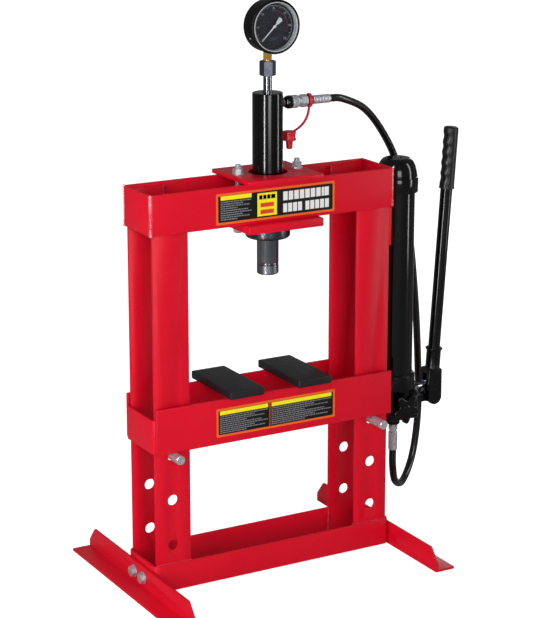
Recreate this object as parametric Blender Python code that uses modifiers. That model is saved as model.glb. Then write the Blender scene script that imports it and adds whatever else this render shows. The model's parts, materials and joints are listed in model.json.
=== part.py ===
"""Bench hydraulic shop press: welded plate frame, liftable bed, ram unit with gauge, hand pump and hose.

Units are metres, +Z is up and the front of the press faces -Y. Everything hangs from one empty at the
middle of the frame on the floor; that empty stands beside the origin, so that the origin is the bottom
centre of the whole press, pump lever included.
"""

import math

import bmesh
import bpy
from mathutils import Matrix, Vector

# --- Clearances ---
GAP = 0.0003
SLIDE = 0.0015

# --- Frame: paired upright plates, beam ring, base ring ---
PLATE = 0.005
FRAME_HALF_X = 0.251
FRAME_HALF_Y = 0.055
UPRIGHT_WIDTH = 0.070
PIN_RADIUS = 0.0085
UPRIGHT_SIDE_GAP = 0.0015
UPRIGHT_TOP_DROP = 0.006
HOLE_PITCH = 0.0855
HOLE_LOWEST = 0.089
HOLE_LEVELS = 3
HOLE_RADIUS = PIN_RADIUS + 0.0018
BEAM_BOTTOM = 0.6665
BEAM_TOP = 0.739
BEAM_EDGE = 0.0035
BASE_BOTTOM = 0.003
BASE_TOP = 0.054
BASE_BEND = 0.012
BASE_INSIDE = 0.002

# --- Feet: angle irons along Y ---
FOOT_HALF_LENGTH = 0.216
FOOT_TOP_HALF_LENGTH = 0.194
FOOT_HEIGHT = 0.044
FOOT_TOE_HEIGHT = 0.017
FOOT_FLANGE = 0.0405
FOOT_BOLT_RADIUS = 0.005
FOOT_BOLT_SPACING = 0.038
FOOT_BOLT_Z = 0.024

# --- Support pins and bed ---
PIN_LENGTH = 0.170
PIN_LEFT_TIP = 0.083
PIN_RIGHT_TIP = 0.096
BED_PLATE = 0.006
BED_HEIGHT = 0.0835
BED_HALF_X = 0.2465
BED_END_HEIGHT = 0.063
BED_END_BEND = 0.009
BED_END_FLANGE = 0.040

# --- Arbor plates on the bed ---
ARBOR_WIDTH = 0.070
ARBOR_LENGTH = 0.154
ARBOR_THICKNESS = 0.015
ARBOR_GAP = 0.0715
ARBOR_X = 0.00175
ARBOR_Y = 0.003

# --- Ram unit, clamped on the beam ---
CYLINDER_RADIUS = 0.0278
RAM_X = 0.014
RAM_PLATE_X = 0.154
RAM_PLATE_Y = 0.140
TOP_PLATE = 0.0077
BOTTOM_PLATE = 0.0155
TOP_HOLE_RADIUS = CYLINDER_RADIUS + 0.0082
STUD_SPACING = 0.122
STUD_RADIUS = 0.0055
STUD_ABOVE_NUT = 0.007
STUD_BELOW_NUT = 0.0015
NUT_HEIGHT = 0.009
NUT_FLATS = 0.017
WASHER_RADIUS = 0.0105
WASHER = 0.002
CYLINDER_TOP = 0.891
CYLINDER_BOTTOM = 0.6285
CYLINDER_HEAD = 0.012
CYLINDER_GLAND = 0.0145
BORE_RADIUS = CYLINDER_RADIUS - 0.0038
SHOULDER_RADIUS = CYLINDER_RADIUS + 0.0052
SHOULDER_HEIGHT = 0.008
LOCK_RING_RADIUS = CYLINDER_RADIUS + 0.0132
LOCK_RING_BOTTOM = 0.6265
LOCK_RING_HOLES = 6
LOCK_RING_HOLE_RADIUS = 0.0035
LOCK_RING_HOLE_DEPTH = 0.006

# --- Ram: rod with piston, end cap, return spring ---
RAM_RADIUS = 0.020
RAM_BOTTOM = 0.5576
RAM_CAP_HEIGHT = 0.018
RAM_CAP_SPIGOT = 0.0085
RAM_CAP_SPIGOT_LENGTH = 0.012
PISTON_TOP = 0.817
PISTON_HEIGHT = 0.020
ROD_BORE_RADIUS = 0.010
ROD_BORE_BOTTOM = 0.640
SET_SCREW_Z = 0.5855
SET_SCREW_FLATS = 0.004
SPRING_RADIUS = 0.0072
SPRING_WIRE = 0.0012
SPRING_TURNS = 12

# --- Pressure gauge ---
ADAPTER_RADIUS = 0.0082
ADAPTER_TOP = 0.932
ADAPTER_THREAD_DEPTH = 0.010
NUT_BOTTOM_Z = 0.9212
NUT_TOP_Z = 0.948
GAUGE_NUT_FLATS = 0.0258
STEM_FLATS = 0.0152
STEM_NECK_RADIUS = 0.0062
GAUGE_Z = 1.0112
GAUGE_RADIUS = 0.0485
GAUGE_BODY_RADIUS = 0.0472
GAUGE_BACK = 0.011
GAUGE_FRONT = 0.031
GAUGE_WALL = 0.003
DIAL_DEPTH = 0.0095
DIAL_THICKNESS = 0.001
BEZEL_RADIUS = 0.0433
GLASS = 0.0015
NEEDLE_LENGTH = 0.0365
NEEDLE_TAIL = 0.0190
NEEDLE_ZERO = math.radians(225.0)
BOURDON_RADIUS = 0.0280
BOURDON_TUBE = 0.003

# --- Quick coupler on the cylinder's side, along +X ---
COUPLER_Z = 0.8695
NIPPLE_RADIUS = 0.0055
COUPLER_START = CYLINDER_RADIUS + 0.0067
COUPLER_RADIUS = 0.0121
COUPLER_RING_LENGTH = 0.0132
COUPLER_SLEEVE_LENGTH = 0.0130
COUPLER_GROOVE_RADIUS = 0.0085
COUPLER_GROOVE = 0.0055
COUPLER_FLATS = 0.0205
COUPLER_HEX_LENGTH = 0.0133
HOSE_NUT_RADIUS = 0.0092
HOSE_NUT_LENGTH = 0.0125
FERRULE_RADIUS = 0.0080
FERRULE_LENGTH = 0.036
DUST_CAP_RADIUS = 0.0128
DUST_CAP_TOP = 0.8165
DUST_CAP_HEIGHT = 0.0175
DUST_CAP_NECK_RADIUS = 0.0066
DUST_CAP_NECK = 0.0155
DUST_CAP_X = RAM_X + CYLINDER_RADIUS + 0.0172
STRAP_WIDTH = 0.0065
STRAP_THICKNESS = 0.0026

# --- Hand pump ---
PUMP_X = 0.2920
RESERVOIR_RADIUS = 0.0345
RESERVOIR_WALL = 0.003
RESERVOIR_TOP = 0.7003
RESERVOIR_BOTTOM = 0.3063
PUMP_CAP_RADIUS = 0.0403
PUMP_CAP_BOTTOM = 0.6810
PUMP_CAP_SHOULDER = 0.7100
PUMP_CAP_TOP = 0.7455
PUMP_CAP_FLAT = 0.021
FILLER_RADIUS = 0.010
FILLER_SOCKET = 0.008
PUMP_COLLAR_TOP = 0.329
PUMP_BODY_TOP = 0.305
PUMP_BODY_BOTTOM = 0.236
PUMP_BODY_LEFT = 0.034
PUMP_BODY_RIGHT = 0.039
PUMP_BODY_HALF_Y = 0.030
OUTLET_RADIUS = 0.0130
OUTLET_BOTTOM = 0.2222
PLUNGER_Z = 0.289
PLUNGER_RADIUS = 0.006
PLUNGER_INNER = 0.284
PLUNGER_SHOULDER = 0.3600
GLAND_RADIUS = 0.0130
GLAND_END = 0.3400
TONGUE_HALF_Y = 0.005
TONGUE_TIP = 0.0093
TONGUE_SLOT = 0.0058
TONGUE_SLOT_TOP = 0.0066
TONGUE_SLOT_BOTTOM = 0.0105
TONGUE_EDGE = 0.0038
LOWER_FERRULE_RADIUS = 0.0088
LOWER_FERRULE_BOTTOM = 0.1695
LOWER_FERRULE_NECK = 0.0060

# --- Lever ---
PIVOT_X = 0.3790
PIVOT_Z = 0.2655
PIVOT_PIN_RADIUS = 0.005
LEVER_HALF_X = 0.0150
LEVER_HALF_Y = 0.0145
LEVER_TOP = 0.3225
LEVER_SLOT_HALF_Y = 0.0068
LEVER_SLOT_TOP = 0.0245
LUG_RADIUS = 0.0080
LUG_HALF_Y = 0.0060
HANDLE_TILT = math.radians(3.9)
HANDLE_AXIS_X = 0.3814
HANDLE_AXIS_Z = 0.324
HANDLE_RADIUS = 0.0115
HANDLE_TOP = 0.470
SOCKET_RADIUS = HANDLE_RADIUS + 0.0027
SOCKET_LIP_RADIUS = HANDLE_RADIUS + 0.0053
SOCKET_TOP = 0.0385
SOCKET_BORE_BOTTOM = 0.004
GRIP_RADIUS = HANDLE_RADIUS + 0.0035
GRIP_START = 0.3515
GRIP_END_ROUND = 0.003
GRIP_WAVES = 5
GRIP_WAVE_DEPTH = 0.0007

# --- Release valve ---
VALVE_X = 0.2890
VALVE_Z = 0.2665
VALVE_STEM_RADIUS = 0.0055
KNOB_Y = 0.0475
KNOB_THICKNESS = 0.014
KNOB_RADIUS = 0.0300
KNOB_WAIST = 0.0170
KNOB_LOBES = 5

# --- Pump bracket on the right uprights ---
BRACKET_BOTTOM = 0.592
BRACKET_TOP = 0.664
SADDLE_HALF_Y = 0.022
SADDLE_REACH = 0.0120

# --- Hose ---
HOSE_RADIUS = 0.0070
HOSE_STEP = 0.030
HOSE_LEAD = 0.008
HOSE_ROUTE = (
    (0.1790, 0.0025, 0.8640),
    (0.2270, 0.0160, 0.8420),
    (0.2740, 0.0340, 0.7990),
    (0.3190, 0.0510, 0.7360),
    (0.3490, 0.0620, 0.6560),
    (0.3690, 0.0665, 0.5600),
    (0.3805, 0.0685, 0.4760),
    (0.3885, 0.0690, 0.3920),
    (0.3945, 0.0700, 0.3010),
    (0.3980, 0.0720, 0.2300),
    (0.3950, 0.0740, 0.1640),
    (0.3790, 0.0670, 0.1100),
    (0.3430, 0.0430, 0.0800),
    (0.3080, 0.0150, 0.0980),
    (0.2940, 0.0022, 0.1350),
)

# --- Places worked out from the sizes above ---
UPRIGHT_OUT_X = FRAME_HALF_X - PLATE - UPRIGHT_SIDE_GAP
UPRIGHT_MID_X = UPRIGHT_OUT_X - UPRIGHT_WIDTH / 2
UPRIGHT_OUT_Y = FRAME_HALF_Y - PLATE - GAP
HOLE_TOP = HOLE_LOWEST + (HOLE_LEVELS - 1) * HOLE_PITCH
BED_BOTTOM = HOLE_TOP + PIN_RADIUS + GAP
BED_TOP = BED_BOTTOM + BED_HEIGHT
BED_END_OUT_Y = UPRIGHT_OUT_Y + SLIDE + PLATE
BED_OUT_Y = BED_END_OUT_Y + GAP + BED_PLATE
BED_END_OUT_X = UPRIGHT_OUT_X + SLIDE + PLATE
FOOT_INNER_X = FRAME_HALF_X + GAP
FOOT_REACH = FOOT_INNER_X + FOOT_FLANGE
TOP_PLATE_Z = BEAM_TOP + GAP
BOTTOM_PLATE_Z = BEAM_BOTTOM - GAP - BOTTOM_PLATE
COUPLER_RING_X = RAM_X + COUPLER_START
SLEEVE_X = COUPLER_RING_X + COUPLER_RING_LENGTH + GAP
HEX_X = SLEEVE_X + COUPLER_SLEEVE_LENGTH + COUPLER_GROOVE
HOSE_NUT_X = HEX_X + COUPLER_HEX_LENGTH
FERRULE_X = HOSE_NUT_X + HOSE_NUT_LENGTH + GAP
FERRULE_END = FERRULE_X + FERRULE_LENGTH
GRIP_WIDE = HANDLE_TOP - GRIP_END_ROUND
HANDLE_REACH = HANDLE_AXIS_X + GRIP_WIDE * math.sin(HANDLE_TILT) + GRIP_RADIUS * math.cos(HANDLE_TILT)
PRESS_X = (FOOT_REACH - HANDLE_REACH) / 2

# --- Finishes: colour, roughness, metallic ---
FINISHES = {
    "red_paint": ((0.72, 0.012, 0.030), 0.28, 0.0),
    "black_paint": ((0.012, 0.012, 0.014), 0.25, 0.0),
    "arbor_steel": ((0.045, 0.045, 0.050), 0.45, 0.6),
    "chrome": ((0.78, 0.79, 0.82), 0.10, 1.0),
    "zinc": ((0.55, 0.56, 0.60), 0.35, 1.0),
    "dark_steel": ((0.16, 0.17, 0.19), 0.35, 0.9),
    "brass": ((0.72, 0.48, 0.18), 0.28, 1.0),
    "black_rubber": ((0.015, 0.015, 0.016), 0.60, 0.0),
    "red_plastic": ((0.62, 0.015, 0.030), 0.40, 0.0),
    "dial_blue": ((0.035, 0.045, 0.070), 0.45, 0.0),
    "pale_grey": ((0.60, 0.61, 0.63), 0.40, 0.0),
    "glass": ((0.90, 0.93, 0.95), 0.05, 0.0),
}


# --- Scene, collections and materials ---
def clear_scene():
    """Remove every object, whatever file the script runs in."""
    for obj in list(bpy.data.objects):
        bpy.data.objects.remove(obj, do_unlink=True)


def collection(name):
    """Return the collection of that name, linked to the scene."""
    made = bpy.data.collections.get(name)
    if made is None:
        made = bpy.data.collections.new(name)
        bpy.context.scene.collection.children.link(made)
    return made


def material(name):
    """Return the Principled material of one finish."""
    made = bpy.data.materials.get(name)
    if made is None:
        colour, roughness, metallic = FINISHES[name]
        made = bpy.data.materials.new(name)
        made.use_nodes = True
        shader = made.node_tree.nodes["Principled BSDF"]
        shader.inputs["Base Color"].default_value = (*colour, 1.0)
        shader.inputs["Roughness"].default_value = roughness
        shader.inputs["Metallic"].default_value = metallic
        made.diffuse_color = (*colour, 1.0)
    return made


def add(data, name, at=(0, 0, 0), finish=None, turn=(0, 0, 0)):
    """Make an object from mesh or curve data; without a finish it is a tool for cutting or joining."""
    obj = bpy.data.objects.new(name, data)
    obj.location = at
    obj.rotation_euler = turn
    obj.parent = bpy.data.objects["press_frame"]
    if finish is None:
        collection("cutters").objects.link(obj)
        obj.hide_render = True
        obj.display_type = "WIRE"
    else:
        collection("hydraulic_shop_press").objects.link(obj)
        data.materials.append(material(finish))
    return obj


# --- Shapes ---
TURN_X = (0, math.pi / 2, 0)
TURN_FRONT = (math.pi / 2, 0, 0)


def mesh_from(bm, name, smooth=True):
    """Turn a bmesh into mesh data, round parts shaded smooth."""
    bmesh.ops.recalc_face_normals(bm, faces=bm.faces)
    mesh = bpy.data.meshes.new(name)
    bm.to_mesh(mesh)
    bm.free()
    if smooth:
        mesh.shade_smooth()
        mesh.set_sharp_from_angle(angle=math.radians(35))
    return mesh


def bevel(obj, width, segments=1, angle=40.0):
    """Round an object's sharp edges."""
    mod = obj.modifiers.new("edge", "BEVEL")
    mod.width = width
    mod.segments = segments
    mod.limit_method = "ANGLE"
    mod.angle_limit = math.radians(angle)
    return mod


def box(name, low, high, finish=None, edge=0.0):
    """A block between two corners, with its origin at its middle."""
    low, high = Vector(low), Vector(high)
    bm = bmesh.new()
    bmesh.ops.create_cube(bm, size=1.0, matrix=Matrix.Diagonal((*(high - low), 1.0)))
    obj = add(mesh_from(bm, name, smooth=False), name, (low + high) / 2, finish)
    if edge:
        bevel(obj, edge)
    return obj


def rod(name, radius, length, at, finish=None, turn=(0, 0, 0), sides=16, edge=0.0):
    """A round bar from `at` along its own +Z, which `turn` points elsewhere."""
    bm = bmesh.new()
    place = Matrix.Translation((0, 0, length / 2))
    bmesh.ops.create_cone(bm, cap_ends=True, segments=sides, radius1=radius, radius2=radius,
                          depth=length, matrix=place)
    obj = add(mesh_from(bm, name), name, at, finish, turn)
    if edge:
        bevel(obj, edge, segments=1, angle=60.0)
    return obj


def hexagon(name, flats, length, at, finish=None, turn=(0, 0, 0), edge=0.0):
    """A hexagonal bar of the given width across flats."""
    return rod(name, flats / math.sqrt(3), length, at, finish, turn, sides=6, edge=edge)


def turned(name, profile, at, finish=None, turn=(0, 0, 0), sides=20, closed=False):
    """A turned piece: (radius, height) points down its outer side, spun about its own Z axis."""
    mesh = bpy.data.meshes.new(name)
    edges = [(i, i + 1) for i in range(len(profile) - 1)]
    if closed:
        edges.append((len(profile) - 1, 0))
    mesh.from_pydata([(r, 0, z) for r, z in profile], edges, [])
    obj = add(mesh, name, at, finish, turn)
    spin = obj.modifiers.new("spin", "SCREW")
    spin.steps = sides
    spin.render_steps = sides
    spin.use_merge_vertices = True
    spin.merge_threshold = 0.00001
    spin.use_smooth_shade = True
    return obj


def outline(name, points, thickness, at, finish=None, turn=(0, 0, 0)):
    """A flat plate cut to an outline in its own XY plane, half its thickness to each side."""
    curve = bpy.data.curves.new(name, "CURVE")
    curve.dimensions = "2D"
    curve.fill_mode = "BOTH"
    curve.extrude = thickness / 2
    spline = curve.splines.new("POLY")
    spline.points.add(len(points) - 1)
    for point, (x, y) in zip(spline.points, points):
        point.co = (x, y, 0, 1)
    spline.use_cyclic_u = True
    return as_mesh(add(curve, name, at, finish, turn))


def as_mesh(obj):
    """Replace a curve object with the mesh it makes, its caps welded."""
    depsgraph = bpy.context.evaluated_depsgraph_get()
    mesh = bpy.data.meshes.new_from_object(obj.evaluated_get(depsgraph))
    bm = bmesh.new()
    bm.from_mesh(mesh)
    bmesh.ops.remove_doubles(bm, verts=bm.verts, dist=0.00001)
    bmesh.ops.recalc_face_normals(bm, faces=bm.faces)
    bm.to_mesh(mesh)
    bm.free()
    made = bpy.data.objects.new("made", mesh)
    for group in obj.users_collection:
        group.objects.link(made)
    made.parent = obj.parent
    made.matrix_world = obj.matrix_world
    made.hide_render = obj.hide_render
    made.display_type = obj.display_type
    name = obj.name
    bpy.data.objects.remove(obj, do_unlink=True)
    made.name = name
    return made


def combine(obj, tool, operation):
    """Cut with or join to a tool object."""
    mod = obj.modifiers.new(tool.name, "BOOLEAN")
    mod.operation = operation
    mod.object = tool
    mod.solver = "EXACT"
    return obj


def cut(obj, tool):
    """Take the tool's shape away from the object."""
    return combine(obj, tool, "DIFFERENCE")


def join(obj, tool):
    """Make the tool's shape part of the object."""
    return combine(obj, tool, "UNION")


def arc(centre_x, centre_y, radius, start, end, steps=4):
    """Points along an arc, angles in degrees."""
    angles = (math.radians(start + (end - start) * i / steps) for i in range(steps + 1))
    return [(centre_x + radius * math.cos(a), centre_y + radius * math.sin(a)) for a in angles]


# --- Frame ---
def upright(side, depth):
    """One upright plate: side is -1 left or 1 right, depth is -1 front or 1 back."""
    name = f"upright_{'front' if depth < 0 else 'back'}_{'left' if side < 0 else 'right'}"
    near = depth * UPRIGHT_OUT_Y
    far = near - depth * PLATE
    low = (side * UPRIGHT_MID_X - UPRIGHT_WIDTH / 2, min(near, far), BASE_BOTTOM)
    high = (side * UPRIGHT_MID_X + UPRIGHT_WIDTH / 2, max(near, far), BEAM_TOP - UPRIGHT_TOP_DROP)
    plate = box(name, low, high, "red_paint")
    for level in range(HOLE_LEVELS):
        at = (side * UPRIGHT_MID_X, FRAME_HALF_Y, HOLE_LOWEST + level * HOLE_PITCH)
        cut(plate, rod(f"{name}_hole_{level}", HOLE_RADIUS, 2 * FRAME_HALF_Y, at, turn=TURN_FRONT))
    return plate


def beam_plate(depth):
    """The front or back plate of the top beam, its outer vertical edges rounded."""
    name = "beam_front" if depth < 0 else "beam_back"
    half_x = FRAME_HALF_X - BEAM_EDGE
    outer = FRAME_HALF_Y
    inner = FRAME_HALF_Y - PLATE
    points = [(-half_x, inner), (half_x, inner)]
    points += arc(half_x - BEAM_EDGE, outer - BEAM_EDGE, BEAM_EDGE, 0, 90, 4)
    points += arc(-half_x + BEAM_EDGE, outer - BEAM_EDGE, BEAM_EDGE, 90, 180, 4)
    points = [(x, depth * y) for x, y in points]
    middle = (0, 0, (BEAM_BOTTOM + BEAM_TOP) / 2)
    return outline(name, points, BEAM_TOP - BEAM_BOTTOM, middle, "red_paint")


def beam_end(side):
    """An end plate of the top beam, between the front and back plates."""
    name = f"beam_end_{'left' if side < 0 else 'right'}"
    half_y = FRAME_HALF_Y - PLATE - GAP
    inner = FRAME_HALF_X - PLATE
    points = [(inner, half_y), (inner, -half_y)]
    points += arc(FRAME_HALF_X - BEAM_EDGE, -half_y + BEAM_EDGE, BEAM_EDGE, 270, 360, 4)
    points += arc(FRAME_HALF_X - BEAM_EDGE, half_y - BEAM_EDGE, BEAM_EDGE, 0, 90, 4)
    points = [(side * x, y) for x, y in points]
    middle = (0, 0, (BEAM_BOTTOM + BEAM_TOP) / 2)
    return outline(name, points, BEAM_TOP - BEAM_BOTTOM, middle, "red_paint")


def base_plate(depth):
    """The front or back plate of the base ring, bent round at both ends."""
    name = "base_front" if depth < 0 else "base_back"
    bend_x = FRAME_HALF_X - BASE_BEND
    bend_y = FRAME_HALF_Y - BASE_BEND
    points = arc(bend_x, bend_y, BASE_BEND, 0, 90) + arc(-bend_x, bend_y, BASE_BEND, 90, 180)
    inner_x = FRAME_HALF_X - PLATE
    corner_x = inner_x - BASE_INSIDE
    corner_y = FRAME_HALF_Y - PLATE - BASE_INSIDE
    points += [(-inner_x, bend_y)] + arc(-corner_x, corner_y, BASE_INSIDE, 180, 90, 2)
    points += arc(corner_x, corner_y, BASE_INSIDE, 90, 0, 2) + [(inner_x, bend_y)]
    points = [(x, depth * y) for x, y in points]
    middle = (0, 0, (BASE_BOTTOM + BASE_TOP) / 2)
    return outline(name, points, BASE_TOP - BASE_BOTTOM, middle, "red_paint")


def foot_bolt_tools(side, name, radius, reach_in, reach_out):
    """Bars along X through the foot and the base, one at each bolt."""
    start = side * FRAME_HALF_X - side * reach_in
    turn = (0, side * math.pi / 2, 0)
    tools = []
    for step in (-0.5, 0.5):
        at = (start, step * FOOT_BOLT_SPACING, FOOT_BOLT_Z)
        tools.append(rod(f"{name}_{len(tools)}", radius, reach_in + reach_out, at, turn=turn, sides=16))
    return tools


def base_end(side):
    """An end plate of the base ring, drilled for the foot's bolts."""
    name = f"base_end_{'left' if side < 0 else 'right'}"
    half_y = FRAME_HALF_Y - BASE_BEND - GAP
    xs = sorted((side * FRAME_HALF_X, side * (FRAME_HALF_X - PLATE)))
    plate = box(name, (xs[0], -half_y, BASE_BOTTOM), (xs[1], half_y, BASE_TOP), "red_paint")
    for tool in foot_bolt_tools(side, f"{name}_drill", FOOT_BOLT_RADIUS + GAP, 0.02, 0.02):
        cut(plate, tool)
    return plate


def foot(side):
    """A foot: angle iron along Y, its upright leg chamfered at both ends, its flange outward."""
    name = f"foot_{'left' if side < 0 else 'right'}"
    half = [
        (FOOT_HALF_LENGTH, 0.0),
        (FOOT_HALF_LENGTH, FOOT_TOE_HEIGHT),
        (FOOT_TOP_HALF_LENGTH, FOOT_HEIGHT),
    ]
    points = half + [(-y, z) for y, z in reversed(half)]
    turn = (math.pi / 2, 0, math.pi / 2)
    leg_x = side * (FOOT_INNER_X + PLATE / 2)
    leg = outline(name, points, PLATE, (leg_x, 0, 0), "red_paint", turn)
    xs = sorted((side * (FOOT_INNER_X + 0.001), side * FOOT_REACH))
    flange = box(f"{name}_flange", (xs[0], -FOOT_HALF_LENGTH, 0), (xs[1], FOOT_HALF_LENGTH, PLATE))
    join(leg, flange)
    for tool in foot_bolt_tools(side, f"{name}_drill", FOOT_BOLT_RADIUS + GAP, 0.02, 0.02):
        cut(leg, tool)
    return leg


def foot_bolts(side):
    """The two bolts of one foot, screwed into one nut strip inside the base."""
    name = f"foot_bolts_{'left' if side < 0 else 'right'}"
    inside = FRAME_HALF_X - PLATE - GAP
    outside = FOOT_INNER_X + PLATE + GAP
    strip = 0.008
    xs = sorted((side * inside, side * (inside - strip)))
    half_y = FOOT_BOLT_SPACING / 2 + 0.009
    low = (xs[0], -half_y, FOOT_BOLT_Z - 0.009)
    high = (xs[1], half_y, FOOT_BOLT_Z + 0.009)
    strip_bar = box(name, low, high, "zinc")
    turn = (0, side * math.pi / 2, 0)
    for i, tool in enumerate(foot_bolt_tools(side, f"{name}_shank", FOOT_BOLT_RADIUS, 0.010, 0.012)):
        y = (i - 0.5) * FOOT_BOLT_SPACING
        join(strip_bar, tool)
        at = (side * outside, y, FOOT_BOLT_Z)
        washer = rod(f"{name}_washer_{i}", 0.0098, 0.0018, at, turn=turn, sides=20)
        join(strip_bar, washer)
        at = (side * (outside + 0.0012), y, FOOT_BOLT_Z)
        join(strip_bar, hexagon(f"{name}_head_{i}", 0.0165, 0.0075, at, turn=turn))
    return strip_bar


# --- Bed, pins and arbor plates ---
def support_pin(side):
    """A plain round pin through the uprights' upper holes; the bed rests on it."""
    name = f"support_pin_{'left' if side < 0 else 'right'}"
    tip = PIN_LEFT_TIP if side < 0 else PIN_RIGHT_TIP
    at = (side * UPRIGHT_MID_X, PIN_LENGTH - tip, HOLE_TOP)
    return rod(name, PIN_RADIUS, PIN_LENGTH, at, "zinc", TURN_FRONT, edge=0.0008)


def bed_plate(depth):
    """The front or back plate of the bed."""
    name = "bed_front" if depth < 0 else "bed_back"
    ys = sorted((depth * BED_OUT_Y, depth * (BED_OUT_Y - BED_PLATE)))
    low = (-BED_HALF_X, ys[0], BED_BOTTOM)
    return box(name, low, (BED_HALF_X, ys[1], BED_TOP), "red_paint", edge=0.0008)


def bed_end(side):
    """An end of the bed: a bent channel that wraps the outside of the uprights."""
    name = f"bed_end_{'left' if side < 0 else 'right'}"
    bend_x = BED_END_OUT_X - BED_END_BEND
    bend_y = BED_END_OUT_Y - BED_END_BEND
    inside = BED_END_BEND - PLATE
    tip = BED_END_OUT_X - BED_END_FLANGE
    points = [(tip, -BED_END_OUT_Y)] + arc(bend_x, -bend_y, BED_END_BEND, 270, 360)
    points += arc(bend_x, bend_y, BED_END_BEND, 0, 90) + [(tip, BED_END_OUT_Y)]
    points += [(tip, BED_END_OUT_Y - PLATE)] + arc(bend_x, bend_y, inside, 90, 0)
    points += arc(bend_x, -bend_y, inside, 360, 270) + [(tip, -BED_END_OUT_Y + PLATE)]
    points = [(side * x, y) for x, y in points]
    middle = (0, 0, BED_BOTTOM + BED_END_HEIGHT / 2)
    return outline(name, points, BED_END_HEIGHT, middle, "red_paint")


def arbor_plate(side):
    """A loose steel plate across the bed, one at each side of the ram's path."""
    name = f"arbor_plate_{'left' if side < 0 else 'right'}"
    inner = ARBOR_X + side * ARBOR_GAP / 2
    xs = sorted((inner, inner + side * ARBOR_WIDTH))
    bottom = BED_TOP + GAP
    low = (xs[0], ARBOR_Y - ARBOR_LENGTH / 2, bottom)
    high = (xs[1], ARBOR_Y + ARBOR_LENGTH / 2, bottom + ARBOR_THICKNESS)
    return box(name, low, high, "arbor_steel", edge=0.002)


# --- Ram unit ---
def ram_plate(name, bottom, thickness, hole_radius):
    """A square clamp plate with the cylinder's hole and the two stud holes."""
    low = (RAM_X - RAM_PLATE_X / 2, -RAM_PLATE_Y / 2, bottom)
    high = (RAM_X + RAM_PLATE_X / 2, RAM_PLATE_Y / 2, bottom + thickness)
    plate = box(name, low, high, "red_paint")
    under = bottom - 0.01
    length = thickness + 0.02
    cut(plate, rod(f"{name}_bore", hole_radius, length, (RAM_X, 0, under), sides=24))
    for side in (-1, 1):
        at = (RAM_X + side * STUD_SPACING / 2, 0, under)
        cut(plate, rod(f"{name}_stud_hole_{side}", STUD_RADIUS + GAP, length, at, sides=16))
    return plate


def clamp_stud(side):
    """A long stud through both clamp plates, with a nut and washer on top and a nut below."""
    name = f"clamp_stud_{'left' if side < 0 else 'right'}"
    x = RAM_X + side * STUD_SPACING / 2
    top = TOP_PLATE_Z + TOP_PLATE + GAP
    bottom = BOTTOM_PLATE_Z - GAP - NUT_HEIGHT - STUD_BELOW_NUT
    length = top + WASHER + NUT_HEIGHT + STUD_ABOVE_NUT - bottom
    stud = rod(name, STUD_RADIUS, length, (x, 0, bottom), "zinc", sides=16, edge=0.0006)
    join(stud, rod(f"{name}_washer", WASHER_RADIUS, WASHER, (x, 0, top), sides=20))
    join(stud, hexagon(f"{name}_nut", NUT_FLATS, NUT_HEIGHT, (x, 0, top + WASHER / 2)))
    join(stud, hexagon(f"{name}_lower_nut", NUT_FLATS, NUT_HEIGHT, (x, 0, bottom + STUD_BELOW_NUT)))
    return stud


def cylinder_body():
    """The cylinder: bored from below, closed by its head on top, gland at the bottom."""
    ledge = BOTTOM_PLATE_Z + BOTTOM_PLATE + GAP
    gland = CYLINDER_BOTTOM + CYLINDER_GLAND
    head = CYLINDER_TOP - CYLINDER_HEAD
    rod_hole = RAM_RADIUS + GAP
    port = ADAPTER_RADIUS + GAP
    socket = CYLINDER_TOP - ADAPTER_THREAD_DEPTH - GAP
    profile = [
        (port, CYLINDER_TOP),
        (CYLINDER_RADIUS - 0.0015, CYLINDER_TOP),
        (CYLINDER_RADIUS, CYLINDER_TOP - 0.0015),
        (CYLINDER_RADIUS, ledge + SHOULDER_HEIGHT),
        (SHOULDER_RADIUS, ledge + SHOULDER_HEIGHT),
        (SHOULDER_RADIUS, ledge),
        (CYLINDER_RADIUS, ledge),
        (CYLINDER_RADIUS, CYLINDER_BOTTOM),
        (rod_hole, CYLINDER_BOTTOM),
        (rod_hole, gland),
        (BORE_RADIUS, gland),
        (BORE_RADIUS, head),
        (0.003, head),
        (0.003, socket),
        (port, socket),
    ]
    body = turned("cylinder_body", profile, (RAM_X, 0, 0), "black_paint", sides=24, closed=True)
    at = (RAM_X + BORE_RADIUS / 2, 0, COUPLER_Z)
    return cut(body, rod("cylinder_port", NIPPLE_RADIUS + GAP, 0.04, at, turn=TURN_X, sides=16))


def lock_ring():
    """The ring nut under the bottom plate, with spanner holes round its rim."""
    top = BOTTOM_PLATE_Z - GAP
    chamfer = 0.0025
    profile = [
        (CYLINDER_RADIUS + GAP, top),
        (LOCK_RING_RADIUS - chamfer, top),
        (LOCK_RING_RADIUS, top - chamfer),
        (LOCK_RING_RADIUS, LOCK_RING_BOTTOM + chamfer),
        (LOCK_RING_RADIUS - chamfer, LOCK_RING_BOTTOM),
        (CYLINDER_RADIUS + GAP, LOCK_RING_BOTTOM),
    ]
    ring = turned("lock_ring", profile, (RAM_X, 0, 0), "zinc", sides=24, closed=True)
    middle = (top + LOCK_RING_BOTTOM) / 2
    for i in range(LOCK_RING_HOLES):
        angle = math.radians(-50 + 360 / LOCK_RING_HOLES * i)
        reach = LOCK_RING_RADIUS - LOCK_RING_HOLE_DEPTH
        at = (RAM_X + reach * math.cos(angle), reach * math.sin(angle), middle)
        turn = (0, math.pi / 2, angle)
        cut(ring, rod(f"lock_ring_hole_{i}", LOCK_RING_HOLE_RADIUS, 0.02, at, turn=turn, sides=12))
    return ring


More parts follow.
